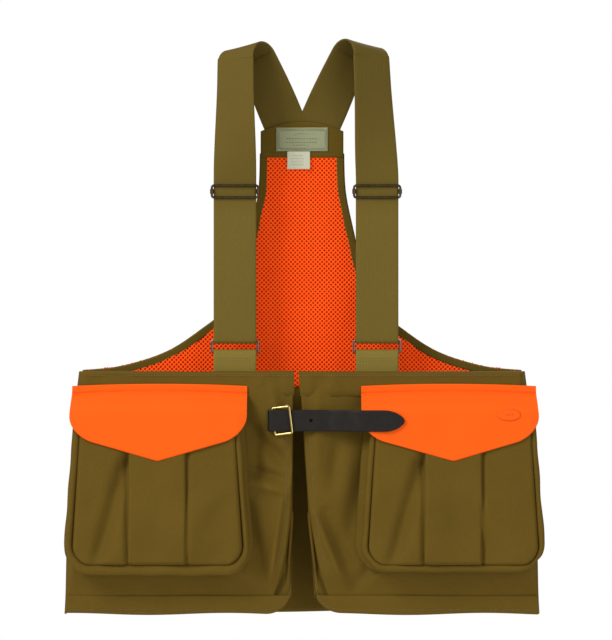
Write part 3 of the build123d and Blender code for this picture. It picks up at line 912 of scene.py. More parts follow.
def make_pocket(side):
    centre, thick = POCKET_FACE_X[side], sizes().cloth

    def face(u, v):
        z = mix(POCKET_TOP, POCKET_BOTTOM, v)
        x = centre + (2 * u - 1) * pocket_half(z)
        return x, face_y(side, x, z), z

    rows = sorted(set(dense_end(90)) | {1 - 0.0012})
    sewn(cloth_piece(f"pocket_front_{side}", face, dense_ends(110), rows, thick),
         f"pocket_face_{side}")

    def pleat(u, v):
        z = mix(POCKET_TOP, POCKET_BOTTOM + 2.5 * MM, v)
        inset = min(u, 1 - u) * 2 * PLEAT_HALF
        x = centre + (2 * u - 1) * PLEAT_HALF + 1.6 * MM * crease(0, z, 44, 0.05)
        base = face_y(side, centre + (x - centre) * 0.6, z)
        hollow = 0.9 * MM * bell((u - 0.5) * 2 * PLEAT_HALF, 14 * MM)
        y = base - PLEAT_PROUD * roll(inset + 0.4 * MM, 3.5 * MM) + hollow
        drop = 1 - roll(z - POCKET_BOTTOM - 2 * MM, 5 * MM)
        return x, y + 2.0 * MM * drop, z

    sewn(cloth_piece(f"pocket_box_pleat_{side}", pleat, dense_ends(40), dense_end(90), thick),
         f"pocket_pleat_{side}")

    count = 240
    outer = pocket_edge(centre, 0, count)
    base = pocket_edge(POCKET_BASE_X[side], POCKET_FLARE, count)
    section = [(out * MM, back * MM) for out, back in BELLOWS]

    def bellows(u, v):
        number = round(v * count)
        (face_point, aside), (base_point, _) = outer[number], base[number]
        out, back = curve_through(section, u)
        point = face_point.lerp(base_point, min(back / (BAG_OUT - FACE_OUT), 1) ** 2.2)
        under = smooth(-aside.y)
        pinch = bell(abs(aside.x) - 0.72, 0.16) * (aside.y < 0)
        swell = 1 + (1.15 if side == "left" else 0.3) * under - 0.45 * pinch
        swell += 0.5 * max(SIDES[side] * aside.x, 0) * (side == "left")
        swell += 0.3 * crease(v * 0.7, 0, 50 + SIDES[side], 0.05)
        point = point + aside * (out * (swell if out > 0 else 1))
        return point.x, FACE_OUT + back, point.y

    sewn(cloth_piece(f"pocket_bellows_{side}", bellows, even(44), even(count), thick),
         f"pocket_gusset_{side}")


# ---- flaps ----
FLAP_HALF = (high("pocket_flap_left").x - low("pocket_flap_left").x) / 2
FLAP_X = {side: middle(f"pocket_flap_{side}").x for side in SIDES}
JOINT_AT = {joint["name"]: Vector(joint.get("pos_m") or (0, 0, 0)) for joint in frame["joints"]}
HINGE_Z = JOINT_AT["left_flap_lift"].z
FLAP_SIDE = 47 * MM  # from the hinge down to the flap's lower corners
FLAP_CORNER = 27 * MM
FLAP_BEND = 23 * MM  # over which it comes forward over the pocket
FLAP_POINT = HINGE_Z - low("pocket_flap_left").z


def flap_bottom(side, x):
    aside = x - FLAP_X[side]
    point = POCKET_FACE_X[side] - FLAP_X[side]
    reach = (point - aside) / (point + FLAP_HALF) if aside < point else (
        (aside - point) / (FLAP_HALF - point))
    rounding = 0.85 * corner_rise(FLAP_HALF - abs(aside), FLAP_CORNER)
    return HINGE_Z - mix(FLAP_POINT, FLAP_SIDE, min(reach, 1)) + rounding


def flap_y(side, x, z):
    """Depth of a flap's outer face: flat on the band, then forward over the pocket."""
    aside = abs(x - FLAP_X[side])
    strip = BAND_OUT - 1.6 * MM
    fall = min(max((SEAM_STRIP_BOTTOM - z) / FLAP_BEND, 0), 1)
    y = mix(strip, FLAP_OUT, sin(pi / 2 * fall) ** 1.15)
    y += 2.5 * MM * smooth((aside - FLAP_HALF + 12 * MM) / (14 * MM)) * fall
    y += 1.3 * MM * bell(z - SEAM_STRIP_BOTTOM, 0.9 * MM)
    y -= 1.2 * MM * bell(z - SEAM_STRIP_BOTTOM + 3.5 * MM, 2.4 * MM)
    y -= 1.8 * MM * crease(x, z, 60 + SIDES[side], 0.05) * fall
    y += 0.8 * MM * (1 - roll(z - flap_bottom(side, x), 3 * MM)) * fall
    return y


def make_flap(side):
    outer = SIDES[side]

    def place(u, v):
        x = FLAP_X[side] + (2 * u - 1) * FLAP_HALF
        z = mix(SEAM_STRIP_TOP, flap_bottom(side, x), v)
        y = flap_y(side, x, z)
        outward = smooth((x - FLAP_X[side]) * outer / FLAP_HALF)
        arch = 2.6 * MM * (1 - (2 * u - 1) ** 2) * (1 - v)
        x += outer * 2.6 * MM * outward * smooth((SEAM_STRIP_TOP - z) / (50 * MM))
        return x, y, z + arch

    piece = cloth_piece(f"flap_cloth_{side}", place, dense_ends(120), even(64), sizes().cloth)
    sewn(piece, f"flap_seam_{side}", f"pocket_flap_{side}", body=None, slot="blaze_cloth")
    deep = SEAM_STRIP_TOP - low(f"pocket_flap_{side}").z
    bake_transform(piece)


def make_flap_patch():
    """A plain oval patch with a stitched edge."""
    centre = middle("flap_badge")
    half = (high("flap_badge") - low("flap_badge")) / 2
    rings, around = 8, 48

    def place(u, v):
        turn = 2 * pi * u
        x = centre.x + half.x * v * cos(turn)
        z = centre.z + half.z * v * sin(turn)
        height = (0.75 + 0.35 * bell(v - 0.9, 0.09)) * MM
        return x, flap_y("right", x, z) - height + 0.9 * MM * smooth((v - 0.93) / 0.07), z

    piece = cloth_piece("flap_patch", place, even(around), even(rings), 0, True)
    modify(piece, "WELD", merge_threshold=0.02 * MM)
    modify(piece, "SOLIDIFY", thickness=0.5 * MM, offset=-1)
    sewn(piece, "flap_badge", body="right_flap", slot="badge")
    rows = []
    for ring in (0.9, 0.42):
        def path(t, ring=ring):
            x = centre.x + half.x * ring * cos(2 * pi * t)
            z = centre.z + half.z * ring * sin(2 * pi * t) * (1 if ring > 0.5 else 0.25)
            return x, flap_y("right", x, z) - 1.25 * MM, z
        stitch_row(rows, path, FORWARD, 120)
    stitch_piece("flap_patch_stitching", rows, "right_flap", plain_thread("badge"), "badge",
                 0.45 * MM)


# ---- back: mesh, tape, yoke, labels ----
HOLE_SHARE = (0.245, 0.49)  # half a hole, as a share of the pitch and of the rows
MESH_IN_SEAM = 2.6 * MM  # the mesh's edge, inside the tape
MESH_YARN = 0.8 * MM
MESH_LAYERS = 1.5 * MM  # from the knit to the layer behind it
SAME_PLACE = 0.01 * MM
ARMHOLE = [(0, 0), (0.01, 0.18), (0.06, 0.38), (0.11, 0.56), (0.19, 0.71), (0.33, 0.81),
           (0.53, 0.915), (0.78, 0.98), (1, 1)]
YOKE_HALF = high("yoke_facing").x
YOKE_BOTTOM = low("yoke_facing").z
SHOULDER_LINE = YOKE_BOTTOM + 30 * MM
TAPE_WIDTH = 10 * MM
TAPE_OVERLAP = 4 * MM  # the tape's middle lies this far inside the mesh's edge
TAPE_STITCH = 7.4 * MM  # its stitches lie this far inside
YOKE_STITCH = 4 * MM  # in from the yoke's sides
YOKE_HEM_STITCH = 3 * MM  # up from its bottom


def armhole(t, sign):
    u, v = curve_through(ARMHOLE, t)
    return sign * mix(YOKE_HALF, SEAM_TOP, u), mix(MESH_TOP, WAIST_TOP, v)


def back_y(x, z):
    """Depth of the mesh back, which hangs in soft folds."""
    free = smooth((MESH_TOP - z) / (60 * MM)) * smooth((z - WAIST_TOP + 10 * MM) / (50 * MM))
    fold = crease(x, z, 70, 0.05) + 0.5 * crease(x, z, 71, 0.022)
    return MESH_IN + 0.6 * MM + free * (2.4 * MM * fold)


def make_mesh():
    edge = [armhole(t, 1) for t in even(300)]

    def half_at(z):
        if z <= WAIST_TOP:
            return SEAM_TOP
        for (x0, z0), (x1, z1) in zip(edge, edge[1:]):
            if z1 <= z <= z0:
                return mix(x0, x1, (z0 - z) / max(z0 - z1, 1e-9))
        return YOKE_HALF

    pitch, row = sizes().hole_pitch, sizes().hole_rows
    hole_across, hole_down = HOLE_SHARE[0] * pitch, HOLE_SHARE[1] * row
    heights = [mix(MESH_TOP, MESH_BOTTOM, t) for t in even(100)]
    area = sum(2 * half_at(z) for z in heights) * (MESH_TOP - MESH_BOTTOM) / len(heights)

    def layer(name, shift, behind):
        found, vertices, uvs, faces = {}, [], [], []

        def corner(x, z):
            key = (round(x / SAME_PLACE), round(z / SAME_PLACE))
            if key not in found:
                found[key] = len(vertices)
                vertices.append((x, back_y(x, z) + behind, z))
                uvs.append((x, z))
            return found[key]

        for j in range(int((MESH_TOP - MESH_BOTTOM) / row)):
            z = MESH_TOP - (j + 0.5) * row
            limit = half_at(z) - MESH_IN_SEAM
            columns = int(limit / pitch) + 2
            for i in range(-columns, columns + 1):
                x = (i + 0.5 * (j % 2) + shift) * pitch
                if abs(x) > limit:
                    continue
                outer, inner = [], []
                for k in range(8):
                    turn = pi / 4 * k
                    reach = 1 if k % 2 == 0 else 0.5 * sqrt(2)
                    outer.append(corner(x + pitch / 2 * reach * cos(turn),
                                        z + row * reach * sin(turn)))
                    inner.append(corner(x + hole_across * cos(turn), z + hole_down * sin(turn)))
                for k in range(8):
                    after = (k + 1) % 8
                    faces.append((outer[k], outer[after], inner[after], inner[k]))
        piece = new_piece(name, vertices, faces, uvs)
        modify(piece, "SOLIDIFY", thickness=MESH_YARN, offset=0)
        return piece

    sewn(layer("back_mesh_knit", 0, 0), "back_mesh_panel", slot="blaze_mesh")
    # the backing's finish is painted shade behind the holes
    sewn(layer("back_mesh_backing", 0.5, MESH_LAYERS), slot="blaze_mesh", finish=mesh_backing_painted_shade())


def make_binding(side):
    sign, steps = SIDES[side], 130
    places = [armhole(t, sign) for t in even(steps)]
    sections = []
    for number, (x, z) in enumerate(places):
        (x0, z0), (x1, z1) = places[max(number - 1, 0)], places[min(number + 1, steps)]
        run = Vector((x1 - x0, 0, z1 - z0)).normalized()
        across = Vector((-run.z, 0, run.x)) * sign
        middle_point = Vector((x, back_y(x, z) + 1.2 * MM, z)) - across * TAPE_OVERLAP
        sections.append((middle_point, across, run, TAPE_WIDTH))
    piece = ribbon(f"armhole_tape_{side}", sections, 4.2 * MM, 12)
    sewn(piece, f"armhole_binding_{side}", slot="binding")
    rows = []

    def path(t):
        x, z = armhole(t, sign)
        x1, z1 = armhole(min(t + 0.01, 1), sign)
        run = Vector((x1 - x, z1 - z)).normalized() if t < 1 else Vector((sign, 0))
        inward = Vector((run.y, -run.x)) * sign * TAPE_STITCH
        return x + inward.x, back_y(x, z) - 1.0 * MM, z + inward.y

    stitch_row(rows, path, FORWARD, 300)
    stitch_piece(f"armhole_stitching_{side}", rows, "root", plain_thread("webbing"), "binding",
                 0.35 * MM)


def make_yoke():
    for name, node, back in (("yoke_front", "yoke_facing", False),
                             ("yoke_back", "yoke_outer", True)):
        level = low(node).y if not back else high(node).y

        def place(u, v):
            x = (2 * u - 1) * YOKE_HALF
            top = SHOULDER_LINE + (high(node).z - SHOULDER_LINE) * (1 - (x / YOKE_HALF) ** 2)
            z = mix(top, YOKE_BOTTOM - 1 * MM, v)
            inside = min((1 - abs(2 * u - 1)) * YOKE_HALF, top - z, z - YOKE_BOTTOM + 1 * MM)
            turn = (-1 if back else 1) * 1.2 * MM * (1 - roll(inside, 2.5 * MM))
            return x, level + turn + 0.5 * MM * crease(x, z, 80, 0.03), z

        sewn(cloth_piece(name, place, dense_ends(50), dense_ends(26), sizes().cloth, back), node,
             slot="canvas", finish=binding())
    rows, reach, hem = [], YOKE_HALF - YOKE_STITCH, YOKE_BOTTOM + YOKE_HEM_STITCH
    front, behind = low("yoke_facing").y - 0.2 * MM, high("yoke_outer").y + 0.2 * MM
    stitch_row(rows, lambda t: (mix(-1, 1, t) * reach, front, hem), FORWARD)
    for sign in SIDES.values():
        stitch_row(rows, lambda t, sign=sign: (sign * reach, front, mix(SHOULDER_LINE, hem, t)),
                   FORWARD)
    stitch_row(rows, lambda t: (mix(-1, 1, t) * reach, behind, hem), BACKWARD)
    stitch_piece("yoke_stitching", rows, "root", plain_thread("canvas"))


TAG_FALL = 0.42  # share of the folded tag that hangs down, before the fold and after it


def make_labels():
    first, last = low("neck_label"), high("neck_label")
    centre = (first + last) / 2
    half = (last - first) / 2

    def label(u, v):
        x, z = centre.x + (2 * u - 1) * half.x, mix(last.z, first.z, v)
        inside = min((1 - abs(2 * u - 1)) * half.x, last.z - z, z - first.z)
        bow = 0.5 * MM * crease(x, z, 90, 0.02)
        return x, first.y - 0.5 * MM + 0.7 * MM * (1 - roll(inside, 1.2 * MM)) - bow, z

    sewn(cloth_piece("woven_label", label, dense_ends(44), dense_ends(24), 0.7 * MM), "neck_label",
         slot="label_cloth")
    rows, level = [], first.y - 1.0 * MM
    for inset in (1.8 * MM, 3.4 * MM):
        right, top = half.x - inset, half.z - inset
        loop = [(-right, top), (right, top), (right, -top), (-right, -top), (-right, top)]
        for (x0, z0), (x1, z1) in zip(loop, loop[1:]):
            stitch_row(rows, lambda t, a=x0, b=x1, c=z0, d=z1: (
                centre.x + mix(a, b, t), level, centre.z + mix(c, d, t)), FORWARD, 60)
    for height, reach, wave in ((0.34, 0.3, 2.2), (0.05, 0.62, 0.0), (-0.26, 0.62, 0.0),
                                (-0.5, 0.36, 0.0)):
        stitch_row(rows, lambda t, h=height, r=reach, w=wave: (
            centre.x + half.x * r * (2 * t - 1), level,
            centre.z + half.z * h + w * MM * sin(pi * t)), FORWARD, 60)
    stitch_piece("label_stitching", rows, "root", plain_thread("label"), "label_cloth", 0.4 * MM)

    first, last = low("care_tag"), high("care_tag")
    width = last.x - first.x

    def tag(u, v):
        fold = 1.6 * MM
        turn = pi * smooth((v - TAG_FALL) / (1 - 2 * TAG_FALL))
        down_share = min(v / TAG_FALL, 1, (1 - v) / TAG_FALL)
        z = mix(last.z, first.z + fold / 2, down_share) - fold / 2 * sin(turn)
        return (mix(first.x, last.x, u), first.y - 0.8 * MM + fold * (1 - cos(turn)) / 2
                + 0.8 * MM * sin(u * 5) * down_share, z)

    sewn(cloth_piece("folded_tag", tag, even(20), even(48), 0.25 * MM), "care_tag",
         slot="label_cloth", finish=plain_thread("pale"))
    rows = []
    for line in range(4):
        z = last.z - (5 + 3.6 * line) * MM
        reach = 0.36 if line % 2 else 0.3
        stitch_row(rows, lambda t, z=z, r=reach: (
            middle("care_tag").x + width * r * (2 * t - 1),
            first.y - 1.1 * MM + 0.8 * MM * sin((0.5 + r * (2 * t - 1)) * 5)
            * (last.z - z) / (last.z - first.z), z), FORWARD, 40)
    stitch_piece("tag_lines", rows, "root", plain_thread("label"), "label_cloth", 0.22 * MM)


# ---- game bag on the back ----
MOUTH_SAG = 7 * MM
GAME_CORNER = 40 * MM
GAME_SIDE_ROLL = 26 * MM  # over which its sides round over, and its bottom
GAME_FLOOR_ROLL = 28 * MM


def game_point(u, v):
    last, first = high("game_bag_outer"), low("game_bag_outer")
    sag = MOUTH_SAG * (1 - (2 * u - 1) ** 2)
    z = mix(last.z - sag, first.z, v)
    half = last.x - corner_rise(z - first.z, GAME_CORNER)
    x = (2 * u - 1) * half
    side = (1 - abs(2 * u - 1)) * half
    full = roll(side, GAME_SIDE_ROLL) * roll(z - first.z, GAME_FLOOR_ROLL)
    y = mix(BACK_OUT + 0.6 * MM, GAME_OUT, full)
    lower = smooth((last.z - z) / (60 * MM))
    y += 5 * sizes().creases * (crease(x, z, 100, 0.07) + 0.4 * crease(x, z, 101, 0.03)) * full * (
        0.3 + 0.7 * lower)
    return x, y, z


def make_game_bag():
    across = dense_ends(150)
    rows = sorted({*dense_end(100), 1 - 0.0012})
    piece = cloth_piece("game_bag_cloth", game_point, across, rows, sizes().cloth, True)
    sewn(piece, "game_bag_outer", "game_bag_strip")

    def hem_ply(u, v):
        x, y, z = game_point(u, v * 0.1)
        return x, y + (0.8 + 0.5 * roll((1 - v) * 20 * MM, 2 * MM)) * MM, z + 0.4 * MM * (1 - v)

    sewn(cloth_piece("game_bag_hem", hem_ply, across, even(16), sizes().cloth, True))
    stitches = []
    for share in (0.09, 0.015):
        stitch_row(stitches, lambda t, s=share: Vector(game_point(mix(0.01, 0.99, t), s))
                   + Vector((0, 1.5 * MM, 0)), BACKWARD, 400)

    def round_edge(t):
        x, y, z = game_point(0.985 if t > 0.5 else 0.015, min(2 * t, 2 - 2 * t) * 0.93)
        return x, y + 0.3 * MM, z

    stitch_row(stitches, round_edge, BACKWARD, 400)
    stitch_piece("game_bag_stitching", stitches, "root", plain_thread("canvas"))


# ---- shoulder straps ----
WEB_WIDTH = 50 * MM
WIRE_GAP = 0.3 * MM  # between a wire and the webbing round it
RING_WIRE = 1.5 * MM  # radii
SLIDE_WIRE = 1.4 * MM
TAKE_UP_PLAY = 0.4 * MM  # narrower than the strap in front of it
TAKE_UP_END = 55 * MM  # above the ring
SLIDE_REACH = 14 * MM  # over which the take-up ply settles behind the strap
RING_BEND = (16 * MM, 3 * MM)  # heights above the ring; the strap is not made to bend between them
YOKE_ENTRY = 19 * MM  # where the strap lies flat, above the yoke's shoulder line
YOKE_STRAP_X = 10.3 * MM
STRAP_END = 11 * MM  # above the top of the mesh
YOKE_LAYER = 2.15 * MM  # behind the middle of the yoke's facing
CROWN = {"left": (-78 * MM, 0.0), "right": (81.5 * MM, 3 * MM)}
CROWN_RADIUS = 17.5 * MM
CROWN_TWIST = math.radians(32)
CROWN_TILT = math.radians(10.5)


def crown(angle, side):
    """Middle, width direction and run of the strap at an angle round its shoulder bend."""
    inward, (x, rise) = -SIDES[side], CROWN[side]
    axis = Vector((inward * cos(CROWN_TILT) * cos(CROWN_TWIST), -cos(CROWN_TILT) * sin(CROWN_TWIST),
                   sin(CROWN_TILT)))
    ahead = Vector((inward * sin(CROWN_TWIST), cos(CROWN_TWIST), 0))
    up = ahead.cross(axis) * inward
    up = up if up.z > 0 else -up
    origin = Vector((x + inward * CROWN_RADIUS * sin(CROWN_TWIST), 0, rise))
    radial = up * sin(angle) - ahead * cos(angle)
    place = origin + axis * (CROWN_RADIUS * angle * math.tan(CROWN_TILT)) + radial * CROWN_RADIUS
    run = axis * sin(CROWN_TILT) + (up * cos(angle) + ahead * sin(angle)) * cos(CROWN_TILT)
    return place, run.cross(radial), run


def strap_levels(side):
    """Strap's middle, and the depths of its front, returned and sliding plies."""
    thick = sizes().webbing
    back = high(f"strap_return_{side}").y - thick / 2
    sliding = high(f"strap_end_loop_{side}").y - thick / 2
    return middle(f"slide_frame_{side}").x, low(f"strap_return_{side}").y + thick / 2, back, sliding


def ring_top(side):
    return high(f"strap_ring_{side}").z - RING_WIRE


def smooth_sections(keys, steps):
    """Even sections along key sections of (place, across, run)."""
    sections = []
    for share in even(steps):
        place, across, run = (Vector(curve_through([key[part] for key in keys], share))
                              for part in range(3))
        run = run.normalized()
        across = (across - run * across.dot(run)).normalized()
        sections.append((place, across, run, WEB_WIDTH))
    return sections


def make_shoulder_strap(side):
    inward = -SIDES[side]
    x, front, back, _ = strap_levels(side)
    ring = middle(f"strap_ring_{side}")
    ring_z = ring_top(side)
    slide_top = high(f"slide_frame_{side}").z + 9 * MM
    reach = (back - front) / 2
    fall = RING_WIRE + WIRE_GAP + sizes().webbing / 2
    right, upward = Vector((1, 0, 0)), Vector((0, 0, 1))
    keys = [(Vector((x, back, ring_z + rise * MM)), right, -upward) for rise in (65, 44, 22, 4)]
    for turn in (0.25, 0.5, 0.75):
        keys.append((Vector((x, ring.y + reach * cos(pi * turn), ring_z - fall * sin(pi * turn))),
                     right, Vector((0, -sin(pi * turn), -cos(pi * turn)))))
    for share in even(7):
        z = mix(ring_z + 4 * MM, slide_top, share)
        keys.append((Vector((x, front, z)), right, upward))
    flat, top = Vector((x, front, slide_top)), crown(0, side)[0]
    for share in (0.25, 0.5, 0.75):
        turn = CROWN_TWIST * sin(share * pi / 2)
        bow = Vector((0, -3 * MM * sin(pi * share), 0))
        keys.append((flat + (top - flat) * share + bow,
                     Vector((cos(turn), -inward * sin(turn), 0)), upward))
    bend = [crown(pi * step / 12, side) for step in range(13)]
    keys += bend
    place, across, run = bend[-1]
    layer = middle("yoke_facing").y + YOKE_LAYER
    end = Vector((-inward * YOKE_STRAP_X, layer, MESH_TOP + STRAP_END))
    entry_z = SHOULDER_LINE + YOKE_ENTRY
    share = (place.z - entry_z) / (place.z - end.z)
    entry = Vector((mix(place.x, end.x, share), layer, entry_z))
    flat_run = (end - entry).normalized()
    flat_across = flat_run.cross(Vector(BACKWARD))
    for share in (0.35, 0.7):
        keys.append((place.lerp(entry, share), across.lerp(flat_across, share),
                     run.lerp(flat_run, share)))
    keys += [(entry, flat_across, flat_run), (end, flat_across, flat_run)]
    piece = ribbon(f"shoulder_webbing_{side}", smooth_sections(keys, 300), sizes().webbing, 14)
    sewn(piece, f"shoulder_strap_{side}", f"strap_return_{side}", body=None, slot="webbing")
    start, end = (Vector((x, ring.y, ring_z + rise)) for rise in RING_BEND)
    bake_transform(piece)
    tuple(start)
    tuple(end)


def make_take_up(side):
    """The ply behind the strap, which goes round the slide's bar and moves with it."""
    x, _, _, sliding = strap_levels(side)
    ring_z = ring_top(side)
    bar_y = high(f"slide_bar_{side}").y - SLIDE_WIRE
    slide_z = middle(f"slide_bar_{side}").z
    reach = SLIDE_WIRE + WIRE_GAP + sizes().webbing / 2
    tail = low(f"strap_end_loop_{side}").y + sizes().webbing / 2
    points = [(x, tail, slide_z - drop * MM) for drop in (14, 9, 4)]
    points += [(x, bar_y - reach * cos(pi * t), slide_z + reach * sin(pi * t))
               for t in (0, 0.25, 0.5, 0.75, 1)]
    points += [(x, mix(bar_y + reach, sliding, smooth(t)), mix(slide_z, slide_z - SLIDE_REACH, t))
               for t in (0.35, 0.7, 1)]
    points += [(x, sliding, mix(slide_z - SLIDE_REACH, ring_z + TAKE_UP_END, t))
               for t in even(6)[1:]]
    width = WEB_WIDTH - TAKE_UP_PLAY
    sections = path_sections(points, (1, 0, 0), lambda share, place: width, 160)
    piece = ribbon(f"take_up_webbing_{side}", sections, sizes().webbing, 14)
    sewn(piece, f"strap_end_loop_{side}", body=f"{side}_slide", slot="webbing")


def make_ring_tab(side):
    x = strap_levels(side)[0]
    ring = middle(f"strap_ring_{side}")
    bar_z = low(f"strap_ring_{side}").z + RING_WIRE
    reach = RING_WIRE + WIRE_GAP + sizes().webbing / 2
    bottom = low(f"strap_tab_{side}").z
    points = [(x, ring.y - reach, mix(bottom, bar_z, t)) for t in even(6)[:-1]]
    points += [(x, ring.y - reach * cos(pi * t), bar_z + reach * sin(pi * t)) for t in even(6)]
    points += [(x, ring.y + reach, mix(bar_z, bottom, t)) for t in even(6)[1:]]
    sections = path_sections(points, (1, 0, 0), lambda share, place: WEB_WIDTH, 110)
    piece = ribbon(f"ring_tab_webbing_{side}", sections, sizes().webbing, 14)
    sewn(piece, f"strap_tab_{side}", slot="webbing")


# ---- leather closure ----
TIP_LENGTH = 25 * MM  # over which the strap narrows to its tip
CHAPE_ENDS = (24 * MM, 16 * MM)  # the hidden end of the fold, from the chape's left edge
BAND_LIE = 26 * MM  # the strap lies flat on the front as far as this
CLIMB = (32 * MM, 68 * MM)  # it climbs over the flap between these
FLAP_LIE = 74 * MM  # and lies on the flap from here
HOLE_X = 10.6 * MM
HOLE_RADIUS = 2 * MM
HOLE_DEPTH = 8 * MM


def make_closure():
    thick = sizes().leather
    joint = JOINT_AT["closure_strap_swing"]
    chape_low, chape_high = low("closure_chape"), high("closure_chape")
    under, over = chape_high.y - thick / 2, joint.y
    over_flap = low("closure_strap").y + thick / 2
    fold_x, tip_x = chape_low.x + thick / 2, high("closure_strap").x
    radius = (under - over) / 2
    width = chape_high.z - chape_low.z
    points = [(x, under, CLOSURE_Z) for x in
              (*(chape_low.x + end for end in CHAPE_ENDS), fold_x + radius + 1 * MM)]
    points += [(fold_x + radius - radius * sin(pi * t), (under + over) / 2 + radius * cos(pi * t),
                CLOSURE_Z) for t in (0.15, 0.32, 0.5, 0.68, 0.85)]
    points += [(mix(fold_x + radius + 2 * MM, BAND_LIE, t), over, CLOSURE_Z) for t in even(8)]
    points += [(mix(*CLIMB, t), mix(over, over_flap, smooth(0.08 + 0.86 * t)), CLOSURE_Z)
               for t in even(6)]
    points += [(mix(FLAP_LIE, tip_x, t), over_flap - 0.8 * MM * sin(pi * t), CLOSURE_Z)
               for t in even(7)]

    def narrowed(share, place):
        left = (tip_x - place.x) / TIP_LENGTH if share > 0.5 else 1
        return width * (max(1 - (1 - min(left, 1)) ** 2.1, 0.0) ** 0.62 + 0.04 * (left < 0.1))

    piece = ribbon("closure_leather", path_sections(points, (0, 0, 1), narrowed, 260), thick, 16)
    hole = bpy.data.meshes.new("hole")
    shape = bmesh.new()
    bmesh.ops.create_cone(shape, cap_ends=True, segments=32, radius1=HOLE_RADIUS,
                          radius2=HOLE_RADIUS, depth=HOLE_DEPTH)
    bmesh.ops.rotate(shape, matrix=Matrix.Rotation(pi / 2, 3, "X"), verts=shape.verts)
    bmesh.ops.translate(shape, vec=(HOLE_X, over, CLOSURE_Z), verts=shape.verts)
    shape.to_mesh(hole)
    shape.free()
    punch = bpy.data.objects.new("hole", hole)
    bpy.context.scene.collection.objects.link(punch)
    modify(piece, "BOOLEAN", object=punch, operation="DIFFERENCE", solver="EXACT")
    bpy.data.objects.remove(punch)
    modify(piece, "WEIGHTED_NORMAL", keep_sharp=False)
    sewn(piece, "closure_chape", "closure_strap", body=None, slot="leather")
    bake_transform(piece)


def make_hardware():
    finishes = {"slide_frame_left": bronze_wire, "slide_frame_right": bronze_wire,
                "slide_bar_left": bronze_wire, "slide_bar_right": bronze_wire,
                "strap_ring_left": nickel_wire, "strap_ring_right": nickel_wire,
                "buckle_frame": brass, "snap_stud": brass, "snap_socket": brass,
                "closure_rivets": brass}
    for node, finish in finishes.items():
        piece = frame["nodes"][node]
        piece.data.materials.clear()
        piece.data.materials.append(finish())


TAB_STITCHES = (23 * MM, 26 * MM)  # below the ring's top
TAB_STITCH_HALF = 21 * MM


def make_seams():
    """Topstitching on the canvas and the ring tabs."""
    rows = []
    for side in SIDES:
        stitch_row(rows, lambda t, s=side: (
            front_x(s, t * 0.97, WAIST_TOP), BAND_OUT - 0.9 * MM, WAIST_TOP - 5 * MM),
            FORWARD, 200)

        def edge(t, s=side, inset=7 * MM):
            x, y, z = bag_point(s, inset / front_width(s), mix(0.1, 0.9, t))
            return x, y - 0.3 * MM, z

        stitch_row(rows, edge, FORWARD, 300)

        def hem(t, s=side):
            x = front_x(s, t, HEM + 4 * MM)
            rise = corner_rise(t * front_width(s), FRONT_CORNER)
            return x, PANEL_OUT - 5.0 * MM, HEM + 5 * MM + rise

        stitch_row(rows, hem, FORWARD, 300)
    for z in (HEM_TOP - 3 * MM, HEM + 5 * MM):
        stitch_row(rows, lambda t, z=z: (mix(-0.98, 0.98, t) * seam_x(z, "right"),
                                         BACK_OUT + 2.4 * MM, z), BACKWARD, 300)
    stitch_piece("canvas_stitching", rows, "root", plain_thread("canvas"))

    rows = []
    for side in SIDES:
        x = strap_levels(side)[0]
        ring_z = high(f"strap_ring_{side}").z
        level = low(f"strap_tab_{side}").y - 0.1 * MM
        for drop in TAB_STITCHES:
            stitch_row(rows, lambda t, x=x, y=level, z=ring_z - drop: (
                x + mix(-TAB_STITCH_HALF, TAB_STITCH_HALF, t), y, z), FORWARD, 60)
    stitch_piece("strap_stitching", rows, "root", plain_thread("webbing"), "webbing")


# ---- stage ----
VIEW_CENTRE = (4.7 * MM, 0, -303 * MM)
FLOOR_DROP = 0.3  # the vest hangs this far above the floor
FLOOR_RADIUS = 1.3
LIGHTS = {  # place, size, share of the key light's power
    "key_light": ((-2.3, -2.1, 1.7), 1.5, 1),
    "fill_light": ((1.8, -2.4, 0.2), 1.8, 0.22),
    "back_light": ((1.2, 2.8, 1.2), 1.6, 0.7),
}


